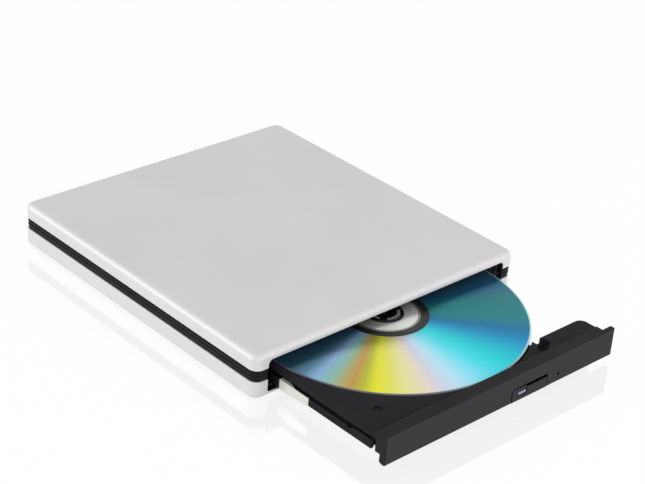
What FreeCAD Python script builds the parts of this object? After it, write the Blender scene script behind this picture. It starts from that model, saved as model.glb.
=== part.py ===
"""A slim external disc drive with its tray part way out and a disc on the hub. All sizes are in millimetres.

X runs to the right seen from the front, Y runs to the back and Z runs up. The rubber feet stand on Z 0,
and the whole object, tray out, is centred on X 0 and Y 0.
"""
import FreeCAD, Part
import math
import os

Vector = FreeCAD.Vector

# The disc, which sets the size of everything around it
disc_radius = 60.0
disc_hole = 7.5
disc_thickness = 1.2
disc_low = 11.2
disc_overhang = 3.9

# The drive's sheet steel housing, with its depths measured back from the case's front face
sheet = 0.6
housing_side_room = 5.0
housing_half = disc_radius + housing_side_room
housing_low = 2.4
housing_high = 15.2
housing_front = 2.7
housing_depth_room = 8.9
housing_depth = 2 * disc_radius + housing_depth_room
housing_end = housing_front + housing_depth
lid_sheet = 0.5
lid_flange = 0.4
lid_flange_gap = 0.05
lid_flange_drop = 4.2
shelf_front = 15.5
shelf_top = 9.0
shelf_width = 28.0
step_x = housing_half - shelf_width
latch_post_radius = 1.2
latch_foot_radius = 2.4
latch_post_offset = 9.0
latch_post_x = step_x + latch_post_offset
latch_post_depth = 9.8
latch_post_top = 7.0

# The opening in the front of the case
opening_side_gap = 0.8
opening_half = housing_half + opening_side_gap
opening_low = 2.2
opening_high = 16.6
opening_top_radius = 2.2
opening_low_radius = 1.2
opening_reach = 3.0

# The case
case_side = 6.7
case_width = 2 * (opening_half + case_side)
bridge_room = 23.4
case_depth = housing_end + bridge_room
case_height = 19.8
case_floor = 0.6
cover_wall = 1.5
floor_wall = 1.4
corner_radius = 4.0
top_edge_radius = 2.6
bottom_edge_radius = 1.4
band_low = 8.0
band_high = 13.1
band_inset = 0.55
band_wall = 1.2
rib_inset = 0.2
rib_round = 0.3
rib_levels = ((9.4, 10.4), (11.25, 12.15))
tongue_inset = 1.55
tongue_wall = 0.6
tongue_height = 0.8

# Where the tray stands in the photographed pose
tray_out = 62.9
case_front = (tray_out - case_depth) / 2
case_back = case_front + case_depth
bezel_front = case_front - tray_out

# How far a cut runs past what it cuts, and the largest error of a computed edge
over = 1.0
tiny = 0.001

# Case screws, feet, pads and hold-down ribs
boss_radius = 2.4
boss_side = 4.3
boss_end = 9.0
boss_x = case_width / 2 - boss_side
boss_depths = (boss_end, case_depth - boss_end)
screw_radius = 0.98
screw_hole_radius = 1.0
screw_head_radius = 1.8
screw_head_low = 0.8
screw_seat_radius = 2.0
screw_seat = 1.7
screw_top = 14.0
boss_split = 8.3
boss_gap = 0.15
boss_relief = 0.2
foot_radius = 4.6
foot_round = 0.3
foot_side = 20.5
foot_end = 16.0
foot_x = case_width / 2 - foot_side
foot_depths = (foot_end, case_depth - foot_end)
foot_sink = 0.5
fit_gap = 0.2
pad_side = 15.0
pad_step_side = 17.0
pad_x = (pad_side - housing_half, step_x - pad_step_side)
pad_rows = 3
pad_length = 14.0
pad_width = 8.0
rib_rows = 3
rib_end = 25.0
rib_wall = 1.5

# The tray, measured back from the bezel's face
tray_front = 6.4
spindle_room = 7.9
spindle_back = disc_radius + spindle_room
tray_back = spindle_back + disc_radius - disc_overhang
tray_floor_low = 8.9
tray_floor_high = 10.2
rim_high = 12.6
pad_high = 12.2
rim_side = 2.6
rim_left = rim_side - housing_half
rim_width = 3.8
rim_inner = rim_left + rim_width
rim_undercut = 10.4
rim_chamfer = 0.3
tray_corner = 3.0
recess_gap = 1.0
recess_radius = disc_radius + recess_gap
front_wall = 1.2
front_wall_side = 4.4
front_wall_left = rim_left + front_wall_side
skirt_front_left = 12.4
skirt_front_right = 14.9
skirt_end = 3.0
skirt_back = tray_back - skirt_end
cutout_gap = 0.6
post_radius = 2.0
post_hole = 0.8
post_front = 12.0
post_end = 34.0
post_end_right = 32.0
post_side_left_front = 6.9
post_side_left_back = 9.4
post_side_right_front = 8.0
post_side_right_back = 9.5
post_left_front = (rim_left + post_side_left_front, post_front)
post_left_back = (rim_left + post_side_left_back, tray_back - post_end)
post_right_front = (step_x - post_side_right_front, post_front)
post_right_back = (step_x - post_side_right_back, tray_back - post_end_right)
cover_posts = (post_left_back, post_right_back, post_right_front, post_left_front)
dimple_radius = 2.0
dimple_depth = 0.6
dimple_side_left = 12.4
dimple_back_left = 19.2
dimple_side_right = 4.0
dimple_back_right = 10.7
dimple_left = (rim_left + dimple_side_left, dimple_back_left)
dimple_right = (step_x - dimple_side_right, dimple_back_right)
dimple_wall = 1.2
dimple_clear = 2.7

# The telescopic rails, measured inward from the wall that carries them
guide_low = 3.6
guide_high = 9.2
guide_web = 1.4
guide_reach = 2.5
guide_front_left = 7.2
guide_front_right = 16.1
guide_end = 4.6
guide_back = housing_end - guide_end
slide_sheet = 0.4
slide_web = 1.7
slide_reach = 3.6
slide_low = 4.2
slide_high = 8.6
slide_shut_front_left = 11.95
slide_shut_front_right = 14.7
slide_end = 7.05
slide_shut_back = guide_back - slide_end
slide_ratio = 0.5
slide_taper = 10.0
slide_lip_low = (0.0, slide_taper)
slide_lip_high = (7.8, 12.0)
slide_nose_low = 5.0
runner_web = 2.3
runner_low = 4.8
runner_high = 8.0
runner_nose_high = 8.7
runner_nose_back = 19.5
runner_front_left = 9.4
runner_front_right = 15.2
runner_end = 4.0
runner_back = tray_back - runner_end
runner_slot = (21.0, 22.4)
runner_slot_low = 7.2
skirt_outer = 3.8
skirt_inner = 5.0

# The wing at the right of the tray
wing_over = 5.0
wing_left = step_x - wing_over
wing_side = 5.5
wing_back_left = wing_left + 2.4
wing_right = housing_half - wing_side
wing_back = 14.3
wing_low = 4.5
wing_high = 14.9
wing_wall = 1.2
wing_corner = 3.5
wing_round = 0.5
wing_notch_half = 2.4
wing_notch = (latch_post_x - wing_notch_half, latch_post_x + wing_notch_half)
wing_notch_high = 7.6

# The bezel
bezel_side_gap = 1.8
bezel_half = opening_half - bezel_side_gap
bezel_low = 3.05
bezel_high = 15.7
bezel_plate = 2.3
bezel_round = 0.5
ledge_low = 13.2
ledge_right = wing_right + bezel_round
cheek_wall = 1.4
cheek_low = 6.8
cheek_back = 5.6
cheek_foot_low = 3.4
cheek_foot_back = 3.1
tab_left_side = 27.0
tab_right_side = 21.0
tab_x = (tab_left_side - bezel_half, bezel_half - tab_right_side)
tab_half = 3.0
tab_low = 5.2
tab_high = 7.2
pinhole_radius = 0.65
pinhole_side = 33.0
pinhole_x = bezel_half - pinhole_side
pinhole_z = 6.6

# The eject button, its light pipe and its spring
button_side = 60.0
button_width = 20.2
button_left = bezel_half - button_side
button_right = button_left + button_width
button_low = 3.2
button_high = 8.95
button_gap = 0.3
button_round = 1.3
button_slot_left = button_left + 8.0
button_slot_low = 8.1
button_slot_round = 0.5
button_flange_back = 3.4
button_flange_gap = 0.2
button_flange_over = 0.7
button_travel = 0.8
stem_left = 10.0
stem_width = 2.0
stem_x = (button_left + stem_left, button_left + stem_left + stem_width)
stem_z = (6.4, 8.2)
stem_gap = 0.4
stem_back = 8.1
pipe_left = 3.9
pipe_width = 4.2
pipe_x = (button_left + pipe_left, button_left + pipe_left + pipe_width)
pipe_z = (5.5, 6.8)
pipe_front = 0.15
pipe_back = 9.1
pipe_gap = 0.15
pipe_seat_gap = 0.1
spring_left = 16.0
spring_x = button_left + spring_left
spring_z = 6.3
spring_radius = 1.4
spring_wire = 0.15
spring_turns = 3
spring_shares = 4
spring_end_gap = 0.02

# The switch board behind the button
switch_board_side = 2.0
switch_board_x = (button_left - switch_board_side / 2, button_right - switch_board_side)
switch_board_t = (9.5, 19.5)
switch_board_low = 5.0
board_sheet = 1.0
switch_half = 3.0
switch_middle = (stem_x[0] + stem_x[1]) / 2
switch_t = (9.8, 13.3)
switch_height = 2.7
plunger_radius = 0.8
plunger_gap = 0.1
plunger_front = stem_back + button_travel + plunger_gap
plunger_z = 7.3
lamp_half = 1.3
lamp_middle = (pipe_x[0] + pipe_x[1]) / 2
lamp_t = (9.5, 10.8)
lamp_height = 1.4
hanger_radius = 1.4
hanger_side = 2.5
hanger_t = 17.3
switch_hanger_x = (switch_board_x[0] + hanger_side, switch_board_x[1] - hanger_side)
switch_hangers = [(x, hanger_t) for x in switch_hanger_x]

# The small board under the back of the tray
tray_board_side = 13.0
tray_board_width = 15.0
tray_board_x = (step_x - tray_board_side - tray_board_width, step_x - tray_board_side)
tray_board_end = 28.5
tray_board_length = 8.5
tray_board_t = (tray_back - tray_board_end - tray_board_length, tray_back - tray_board_end)
tray_board_low = 5.2
tray_hanger_side = 2.2
tray_hanger_front = 2.0
tray_hanger_t = tray_board_t[0] + tray_hanger_front
tray_hanger_x = (tray_board_x[0] + tray_hanger_side, tray_board_x[1] - tray_hanger_side)
tray_hangers = [(x, tray_hanger_t) for x in tray_hanger_x]
ribbon_plug_inset = 0.5
ribbon_plug_length = 3.5
ribbon_plug_back = tray_board_t[1] - ribbon_plug_inset
ribbon_plug_t = (ribbon_plug_back - ribbon_plug_length, ribbon_plug_back)
ribbon_plug_height = 1.8

# The latch in the wing
lever_pin_offset = 8.5
lever_pin = (latch_post_x - lever_pin_offset, latch_post_depth)
lever_pin_radius = 1.1
lever_eye_radius = 2.1
lever_low = 5.0
lever_high = 6.4
lever_arm = 1.0
lever_nose_gap = 2.6
lever_nose = latch_post_x - lever_nose_gap
hook_t = (8.8, 11.4)
hook_thick = 1.4
solenoid_side = 4.2
solenoid_length = 5.5
solenoid_x = (wing_right - solenoid_side - solenoid_length, wing_right - solenoid_side)
solenoid_t = (7.6, 11.0)
solenoid_z = (6.0, 11.0)
solenoid_core = 1.1
solenoid_core_drop = 1.32

# The tray's bottom cover
bottom_low = 3.9
bottom_high = 4.3
bottom_side_left = 3.6
bottom_side_right = 5.6
bottom_x = (rim_left + bottom_side_left, step_x - bottom_side_right)
bottom_front = 8.6
bottom_end_gap = 0.1
bottom_t = (bottom_front, tray_board_t[1] - bottom_end_gap)
bottom_corner = 3.0
tray_screw_head = 1.7
tray_screw_head_low = 3.55
tray_screw_top = 7.0
tray_screw_radius = 0.78

# The optical pickup, with its lens at a distance from the spindle
lens_along = 30.0
lens_nearest = 23.5
lens_edge_room = 3.5
lens_farthest = disc_radius - lens_edge_room
pickup_inner = 8.5
pickup_outer = 8.0
pickup_half = 10.6
pickup_low = 4.6
pickup_high = 8.3
lug_width = 4.1
lug_across = (pickup_half, pickup_half + lug_width)
lug_low = 4.5
lug_high = 8.0
lug_length = 4.0
bush_play = 0.05
fork_gap = 1.3
arm_half = 3.0
arm_high = 8.6
pickup_plate_sheet = 0.3
plate_opening_along = 5.4
plate_opening_across = 6.8
magnet_half = 3.0
magnet_across = (4.4, 6.0)
magnet_high = 9.6
holder_half_width = 3.4
focus_travel = 0.4
focus_gap = 0.2
lens_holder_low = pickup_high + focus_travel + focus_gap
lens_holder_height = 0.9
lens_holder_high = lens_holder_low + lens_holder_height
lens_radius = 2.2
lens_seat = 0.3
lens_dome = 0.5

# The traverse unit, which runs from the spindle towards the tray's front left corner
spindle_y = bezel_front + spindle_back
traverse_turn = 226.0
frame_low = 7.4
frame_sheet = 0.8
frame_start = -18.0
frame_shoulder = disc_radius
frame_nose_length = 7.5
frame_end = frame_shoulder + frame_nose_length
rod_side = 2.2
rod_across = pickup_half + rod_side
lead_side = 4.8
lead_across = rod_across + lead_side
arm_over = 1.8
arm_reach = lead_across + arm_over
window_near_room = 11.0
window_far_room = 8.4
window_along = (lens_nearest - window_near_room, lens_farthest + window_far_room)
window_rod_room = 2.6
window_across = rod_across + window_rod_room
screw_window_start = -5.0
screw_window_past = 0.8
screw_window_along = (screw_window_start, frame_shoulder + screw_window_past)
screw_window_room = 2.2
screw_window_across = lead_across + screw_window_room
motor_window_end = 8.6
motor_window_half = 2.6
motor_window_across = (lead_across - motor_window_half, lead_across + motor_window_half)
frame_rim_left = 5.6
frame_rim_right = 2.7
frame_across = (-window_across - frame_rim_left, screw_window_across + frame_rim_right)
frame_nose = 14.5
motor_hole = 11.0
ear_near = -10.0
ear_shoulder = 16.0
ear_far = frame_shoulder - ear_shoulder
ear_out = 3.0
ear_across = (frame_across[0] - ear_out, frame_across[1] + ear_out)
ears = [(along, across) for along in (ear_near, ear_far) for across in ear_across]
ear_radius = 4.2
ear_hole = 2.3
screw_tab_sheet = 1.0
screw_tab = (screw_window_along[1], screw_window_along[1] + screw_tab_sheet)
screw_tab_low = 5.2
cover_low = 9.3
cover_sheet = 0.6
cover_inset = 0.5
cover_hole = 13.8
lens_slot_room = 5.5
lens_slot_along = (lens_nearest - lens_slot_room, lens_farthest + lens_slot_room)
lens_slot_across = 7.2
cover_foot_near = -15.0
cover_foot_far = lens_slot_along[1]
cover_foot_across_near = (-18.0, 18.5)
cover_foot_across_far = (-17.0, 17.0)
cover_feet = [(cover_foot_near, across) for across in cover_foot_across_near]
cover_feet += [(cover_foot_far, across) for across in cover_foot_across_far]
cover_foot_radius = 1.0

# Rubber bushes and their screws
bush_flange = 3.1
bush_waist = 2.25
bush_low = 6.6
bush_bore = 1.5
bush_screw_head = 3.0
bush_screw_head_height = 0.7
bush_screw_radius = 0.7
bush_screw_top = 9.6

# Spindle motor, turntable and hub
motor_base_along = (-17.0, 11.4)
motor_base_half = 10.6
motor_base_low = 4.4
motor_base_sheet = 0.5
motor_leg = 1.6
motor_leg_along = -15.0
motor_leg_across = 8.5
motor_legs = [(motor_leg_along, across) for across in (-motor_leg_across, motor_leg_across)]
stator_radius = 9.0
stator_top = 8.0
shaft_radius = 1.5
shaft_play = 0.05
shaft_low = 4.9
cup_radius = 10.3
cup_wall = 0.9
cup_low = 5.4
cup_top = 9.2
neck_radius = 6.0
turntable_radius = 13.2
turntable_low = 10.0
turntable_top = 10.9
grip_inner = 9.5
grip_outer = 13.0
stack_ring = (16.6, 17.4)
stack_ring_height = 0.2
hub_radius = 7.4
hub_top = 12.9
hub_chamfer = 0.5
hub_dish_radius = 4.2
hub_dish_depth = 0.8
catch_count = 3
catch_reach = 8.1
catch_root = 5.2
catch_width = 3.0
catch_low = 12.45
catch_top = 13.1
catch_slot = 0.2
catch_stalk_inset = 0.4

# Guide rods, lead screw and sled motor
rod_radius = 1.25
rod_z = 6.1
rod_start = 8.5
rod_end_gap = 0.7
rod_along = (rod_start, frame_end - rod_end_gap)
holder_near = (8.0, 11.8)
holder_far_length = 2.3
holder_far = (window_along[1], window_along[1] + holder_far_length)
holder_half = 2.0
holder_low = 4.6
holder_fit = 0.02
lead_radius = 1.2
lead_z = 6.8
lead_start = 8.05
lead_along = (lead_start, screw_tab[1])
lead_play = 0.06
sled_radius = 2.4
sled_along = (-4.5, 8.0)
sled_flange = 0.5
sled_flange_half = 2.5
sled_top = 8.9
sled_low = 4.6

# Boards, plugs and ribbon in the housing
drive_board_left = 8.0
drive_board_right = 6.5
drive_board_x = (drive_board_left - housing_half, step_x - drive_board_right)
drive_board_end = 1.2
drive_board_length = 31.9
drive_board_d = (housing_end - drive_board_end - drive_board_length, housing_end - drive_board_end)
drive_board_low = 3.7
drive_post_left = 5.0
drive_post_right = 3.1
drive_post_front = 4.5
drive_post_back = 4.4
drive_post_x = (drive_board_x[0] + drive_post_left, drive_board_x[1] - drive_post_right)
drive_post_d = (drive_board_d[0] + drive_post_front, drive_board_d[1] - drive_post_back)
drive_board_posts = [(x, depth) for x in drive_post_x for depth in drive_post_d]
board_post_radius = 2.2
board_screw_radius = 0.9
board_screw_head = 1.9
board_screw_head_height = 0.8
chip_height = 1.0
# Each chip is given by its left edge, its front edge, its width and its length on the board
drive_chips = ((13.0, 9.5, 14.0, 14.0), (35.0, 8.5, 9.0, 9.0), (52.0, 13.5, 7.0, 5.0), (65.0, 17.5, 6.0, 6.0))
plug_left = 23.0
plug_width = 33.0
plug_x = (drive_board_x[0] + plug_left, drive_board_x[0] + plug_left + plug_width)
plug_inside = 4.6
plug_outside = 2.4
plug_d = (housing_end - plug_inside, housing_end + plug_outside)
plug_high = 8.6
plug_gap = 0.5
ribbon_inset = 0.5
ribbon_x = (tray_board_x[0] + ribbon_inset, tray_board_x[1] - ribbon_inset)
ribbon_sheet = 0.12
ribbon_low = 3.15
ribbon_high = 3.5
ribbon_fold = -1.4
ribbon_bend = 0.3
ribbon_socket_inset = 0.7
ribbon_socket_length = 4.0
ribbon_socket_front = drive_board_d[0] + ribbon_socket_inset
ribbon_socket_height = 2.0
ribbon_socket_side = 1.0
ribbon_socket_z = 5.6

# The bridge board behind the housing
bridge_end = 24.0
bridge_half = housing_half - bridge_end
bridge_front_gap = 3.6
bridge_back_gap = 2.4
bridge_d = (housing_end + bridge_front_gap, case_depth - bridge_back_gap)
bridge_low = 4.0
bridge_sheet = 1.2
bridge_post_side = 4.0
bridge_post_front = 4.3
bridge_post_back = 3.6
bridge_post_x = bridge_half - bridge_post_side
bridge_post_d = (bridge_d[0] + bridge_post_front, bridge_d[1] - bridge_post_back)
bridge_posts = [(x, depth) for x in (-bridge_post_x, bridge_post_x) for depth in bridge_post_d]
bridge_plug_over_left = 0.5
bridge_plug_over_right = 1.5
bridge_plug_gap = 0.2
bridge_plug_x = (plug_x[0] - bridge_plug_over_left, plug_x[1] + bridge_plug_over_right)
bridge_plug_front = plug_d[1] + bridge_plug_gap
bridge_plug_length = 6.6
bridge_plug_high = 9.6
bridge_chip_set = ((49.0, 7.8, 7.0, 7.0), (29.0, 9.3, 5.0, 5.0), (17.0, 9.8, 4.0, 5.0))
capacitors = ((68.0, 5.3), (72.5, 11.3), (43.5, 13.3))
capacitor_radius = 1.9
capacitor_height = 4.5
socket_left = 57.2
socket_width = 7.6
socket_x = (socket_left - bridge_half, socket_left + socket_width - bridge_half)
socket_recess = 0.6
socket_length = 5.8
socket_d = (case_depth - socket_recess - socket_length, case_depth - socket_recess)
socket_height = 2.5
socket_wall = 0.3
socket_corner = 0.6
socket_tongue = 0.6
socket_gap = 0.3


# Helpers that make and join plain shapes


def behind_case(depth):
    """Y of a point this far behind the case's front face."""
    return case_front + depth


def behind_bezel(depth):
    """Y of a point this far behind the bezel's face."""
    return bezel_front + depth


def block(x, y, z):
    """A block between two limits on each axis."""
    return Part.makeBox(x[1] - x[0], y[1] - y[0], z[1] - z[0], Vector(x[0], y[0], z[0]))


def case_block(x, depth, z):
    return block(x, (behind_case(depth[0]), behind_case(depth[1])), z)


def tray_block(x, depth, z):
    return block(x, (behind_bezel(depth[0]), behind_bezel(depth[1])), z)


def grown(limits):
    """Two limits, each moved outward so that a cut runs past its faces."""
    return (limits[0] - over, limits[1] + over)


def post(radius, x, y, z):
    """An upright cylinder."""
    return Part.makeCylinder(radius, z[1] - z[0], Vector(x, y, z[0]))


def bar(radius, start, end):
    """A cylinder between two points."""
    path = end.sub(start)
    return Part.makeCylinder(radius, path.Length, start, path)


def bar_along(radius, ends, across, z):
    """A level cylinder in the traverse's first direction."""
    return bar(radius, Vector(ends[0], across, z), Vector(ends[1], across, z))


def join(shapes):
    shapes = list(shapes)
    return shapes[0].multiFuse(shapes[1:]).removeSplitter()


def level_edges(shape, z):
    """The edges that lie flat at one height."""
    return [e for e in shape.Edges if abs(e.BoundBox.ZMin - z) < tiny and abs(e.BoundBox.ZMax - z) < tiny]


def edges_along(shape, axis):
    """The straight edges that run along an axis, 0 for X, 1 for Y and 2 for Z."""
    found = []
    for edge in shape.Edges:
        box = edge.BoundBox
        lengths = [box.XLength, box.YLength, box.ZLength]
        if lengths[axis] > tiny and sum(lengths) - lengths[axis] < tiny:
            found.append(edge)
    return found


def rounded_block(x, y, z, radius):
    """A block with its four upright edges rounded."""
    body = block(x, y, z)
    return body.makeFillet(radius, edges_along(body, 2))


def case_slab(inset, z):
    """A slab of the case's outline, taken in by an inset."""
    half = case_width / 2 - inset
    return rounded_block((-half, half), (case_front + inset, case_back - inset), z, corner_radius - inset)


def case_ring(inset, wall, z):
    return case_slab(inset, z).cut(case_slab(inset + wall, grown(z)))


def even_rows(count, width):
    """Front edges of a few strips, evenly spaced along the housing."""
    step = housing_depth / count
    return [housing_front + step * (number + 0.5) - width / 2 for number in range(count)]


def front_opening():
    """The space that the tray passes through in the case's front."""
    body = case_block((-opening_half, opening_half), (-over, opening_reach), (opening_low, opening_high))
    lengthwise = edges_along(body, 1)
    upper = [e for e in lengthwise if e.BoundBox.ZMin > opening_high - over]
    body = body.makeFillet(opening_top_radius, upper)
    lower = [e for e in edges_along(body, 1) if e.BoundBox.ZMax < opening_low + over]
    return body.makeFillet(opening_low_radius, lower)


def boss_places():
    return [(side * boss_x, behind_case(depth)) for side in (-1, 1) for depth in boss_depths]


# The case


def top_cover():
    outer = case_slab(0, (band_high, case_height))
    outer = outer.makeFillet(top_edge_radius, level_edges(outer, case_height))
    ceiling = case_height - cover_wall
    hollow = case_slab(cover_wall, (band_high - over, ceiling))
    hollow = hollow.makeFillet(top_edge_radius - cover_wall, level_edges(hollow, ceiling))
    shell = outer.cut(hollow).cut(front_opening())
    lid_top = housing_high + lid_sheet
    added = []
    rib_half = housing_half - rib_end
    rib_z = (lid_top, ceiling + fit_gap)
    for depth in even_rows(rib_rows, rib_wall):
        added.append(case_block((-rib_half, rib_half), (depth, depth + rib_wall), rib_z))
    for x, y in boss_places():
        added.append(post(boss_radius, x, y, (boss_split + boss_gap, ceiling + fit_gap)))
    body = join([shell] + added)
    for x, y in boss_places():
        body = body.cut(post(screw_hole_radius, x, y, (boss_split, screw_top + fit_gap)))
    return body


def mid_frame():
    ring = case_ring(band_inset, band_wall, (band_low, band_high))
    ribs = []
    for low, high in rib_levels:
        rib = case_slab(rib_inset, (low, high))
        rib = rib.makeFillet(rib_round, level_edges(rib, low) + level_edges(rib, high))
        ribs.append(rib.cut(case_slab(band_inset + band_wall / 2, grown((low, high)))))
    tongues = []
    for joint in (band_low, band_high):
        tongues.append(case_ring(tongue_inset, tongue_wall, (joint - tongue_height, joint + tongue_height)))
    body = join([ring] + ribs + tongues)
    body = body.cut(front_opening()).cut(socket_cut())
    for x, y in boss_places():
        body = body.cut(post(boss_radius + boss_relief, x, y, grown((band_low, band_high))))
    return body


def socket_cut():
    """The hole for the socket in the case's back."""
    x = (socket_x[0] - socket_gap, socket_x[1] + socket_gap)
    low = bridge_low + bridge_sheet - socket_gap
    high = bridge_low + bridge_sheet + socket_height + socket_gap
    return case_block(x, (case_depth - opening_reach, case_depth + over), (low, high))


def lower_cover():
    outer = case_slab(0, (case_floor, band_low))
    outer = outer.makeFillet(bottom_edge_radius, level_edges(outer, case_floor))
    floor_top = case_floor + floor_wall
    shell = outer.cut(case_slab(cover_wall, (floor_top, band_low + over)))
    shell = shell.cut(front_opening()).cut(socket_cut())
    added = []
    for x in pad_x:
        for depth in even_rows(pad_rows, pad_width):
            across = (x - pad_length / 2, x + pad_length / 2)
            added.append(case_block(across, (depth, depth + pad_width), (floor_top - fit_gap, housing_low)))
    for x, y in boss_places():
        added.append(post(boss_radius, x, y, (floor_top - fit_gap, boss_split)))
    for x, depth in bridge_posts:
        added.append(post(board_post_radius, x, behind_case(depth), (floor_top - fit_gap, bridge_low)))
    body = join([shell] + added)
    for x, y in boss_places():
        body = body.cut(post(screw_seat_radius, x, y, (case_floor - over, screw_seat)))
        body = body.cut(post(screw_hole_radius, x, y, (case_floor, boss_split + over)))
    for x, depth in bridge_posts:
        body = body.cut(post(board_screw_radius, x, behind_case(depth), (floor_top, bridge_low + over)))
    for x, y in foot_places():
        body = body.cut(post(foot_radius + fit_gap, x, y, (case_floor - over, case_floor + foot_sink)))
    return body


def foot_places():
    return [(side * foot_x, behind_case(depth)) for side in (-1, 1) for depth in foot_depths]


def rubber_feet():
    feet = []
    for x, y in foot_places():
        foot = post(foot_radius, x, y, (0, case_floor + foot_sink))
        feet.append(foot.makeFillet(foot_round, level_edges(foot, 0)))
    return Part.makeCompound(feet)


def case_screws():
    screws = []
    for x, y in boss_places():
        head = post(screw_head_radius, x, y, (screw_head_low, screw_seat))
        recess = post(screw_hole_radius, x, y, (screw_head_low - over, (screw_head_low + screw_seat) / 2))
        screws.append(join([head, post(screw_radius, x, y, (screw_seat, screw_top))]).cut(recess))
    return Part.makeCompound(screws)


# The drive's housing


def drive_pan():
    left = (-housing_half, -housing_half + sheet)
    right = (housing_half - sheet, housing_half)
    full = (housing_front, housing_end)
    floor = (housing_low, housing_low + sheet)
    step = (step_x, step_x + sheet)
    shelf = (shelf_top - sheet, shelf_top)
    nook = (housing_front, shelf_front + sheet)
    walls = (housing_low, housing_high)
    back = (housing_end - sheet, housing_end)
    parts = [
        case_block((-housing_half, step[1]), full, floor),
        case_block((step_x, housing_half), nook, floor),
        case_block(left, full, walls),
        case_block(right, nook, walls),
        case_block(right, full, (shelf[0], housing_high)),
        case_block((-housing_half, step[1]), back, walls),
        case_block((step_x, housing_half), back, (shelf[0], housing_high)),
        case_block(step, (shelf_front, housing_end), (housing_low, shelf_top)),
        case_block((step_x, housing_half), (shelf_front, housing_end), shelf),
        case_block((step_x, housing_half), (shelf_front, shelf_front + sheet), (housing_low, shelf_top)),
    ]
    for x, depth in drive_board_posts:
        parts.append(post(board_post_radius, x, behind_case(depth), (floor[0], drive_board_low)))
    body = join(parts)
    screw_z = grown((floor[0], drive_board_low))
    for x, depth in drive_board_posts:
        body = body.cut(post(board_screw_radius, x, behind_case(depth), screw_z))
    plug_space = (plug_x[0] - plug_gap, plug_x[1] + plug_gap)
    heights = (drive_board_low + board_sheet - plug_gap, plug_high + plug_gap)
    return body.cut(case_block(plug_space, grown(back), heights))


def drive_lid():
    top = (housing_high, housing_high + lid_sheet)
    inner = housing_half + lid_flange_gap
    outer = inner + lid_flange
    full = (housing_front, housing_end)
    flange = (housing_high - lid_flange_drop, top[1])
    parts = [case_block((-outer, outer), full, top)]
    parts.append(case_block((-outer, -inner), full, flange))
    parts.append(case_block((inner, outer), full, flange))
    return join(parts)


def latch_post():
    floor = housing_low + sheet
    y = behind_case(latch_post_depth)
    foot = post(latch_foot_radius, latch_post_x, y, (floor, floor + sheet))
    return join([foot, post(latch_post_radius, latch_post_x, y, (floor, latch_post_top))])


# The rails


def rail_span(side, inward):
    """X limits of a stretch measured inward from the wall that carries the rail."""
    if side == "left":
        wall = -housing_half + sheet
        return (wall + inward[0], wall + inward[1])
    return (step_x - inward[1], step_x - inward[0])


def rail_guide(side, front):
    depth = (front, guide_back)
    web = case_block(rail_span(side, (0, guide_web)), depth, (guide_low, guide_high))
    reach = rail_span(side, (0, guide_reach))
    low = case_block(reach, depth, (guide_low, guide_low + slide_sheet))
    high = case_block(reach, depth, (guide_high - slide_sheet, guide_high))
    return join([web, low, high])


def slide_rail(side, shut_front):
    """The steel channel between the fixed guide and the tray's runner. It moves half as far as the tray."""
    moved = tray_out * slide_ratio
    front = shut_front - moved
    depth = (front, slide_shut_back - moved)
    web = case_block(rail_span(side, (slide_web, slide_web + slide_sheet)), depth, (slide_low, slide_high))
    reach = rail_span(side, (slide_web, slide_reach))
    low = case_block(reach, depth, (slide_low, slide_low + slide_sheet))
    high = case_block(reach, depth, (slide_high - slide_sheet, slide_high))
    middle = (slide_low + slide_high) / 2
    body = join([web, low, high])
    body = body.cut(lip_taper(side, front, slide_lip_low, (slide_low - over, middle)))
    body = body.cut(lip_taper(side, front, slide_lip_high, (middle, slide_high + over)))
    return body.cut(web_taper(side, front))


def lip_taper(side, front, stretch, z):
    """What a lip loses at the front end, where it narrows down to the web over a stretch."""
    inner = slide_web + slide_sheet
    start, end = (front + part for part in stretch)
    corners = [(inner, front - over), (inner, start), (slide_reach, end)]
    corners += [(slide_reach + over, end), (slide_reach + over, front - over)]
    points = [Vector(rail_span(side, (inward, inward))[0], behind_case(d), z[0]) for inward, d in corners]
    face = Part.Face(Part.makePolygon(points + points[:1]))
    return face.extrude(Vector(0, 0, z[1] - z[0]))


def web_taper(side, front):
    """What the web's lower edge loses towards the front end."""
    below = slide_low - over
    corners = [(front - over, slide_nose_low), (front, slide_nose_low), (front + slide_taper, slide_low)]
    corners += [(front + slide_taper, below), (front - over, below)]
    across = rail_span(side, (slide_web, slide_reach))
    points = [Vector(across[0] - over, behind_case(d), z) for d, z in corners]
    face = Part.Face(Part.makePolygon(points + points[:1]))
    return face.extrude(Vector(across[1] - across[0] + 2 * over, 0, 0))


def tray_runner(side, front):
    """The plastic runner on the tray's skirt. Its nose is taller than what enters the steel channel."""
    across = rail_span(side, (runner_web, skirt_outer))
    body = tray_block(across, (front, runner_back), (runner_low, runner_high))
    nose = tray_block(across, (front, runner_nose_back), (runner_low, runner_nose_high))
    slot = tray_block(rail_span(side, (0, skirt_outer)), runner_slot, (runner_slot_low, runner_nose_high))
    return join([body, nose]).cut(slot)


# The traverse's own directions


def on_traverse(shape):
    """Turns a shape from the traverse's u and v to its place on the tray."""
    placed = shape.copy()
    placed.rotate(Vector(0, 0, 0), Vector(0, 0, 1), traverse_turn)
    placed.translate(Vector(0, spindle_y, 0))
    return placed


def traverse_outline(extra, z):
    """The traverse frame's outline, grown by a margin."""
    left = frame_across[0] - extra
    right = frame_across[1] + extra
    nose = frame_nose + extra
    start = frame_start - extra
    end = frame_end + extra
    corners = [(start, left), (frame_shoulder, left), (end, -nose)]
    corners += [(end, nose), (frame_shoulder, right), (start, right)]
    points = [Vector(u, v, z[0]) for u, v in corners]
    face = Part.Face(Part.makePolygon(points + points[:1]))
    return face.extrude(Vector(0, 0, z[1] - z[0]))


# The tray


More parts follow.
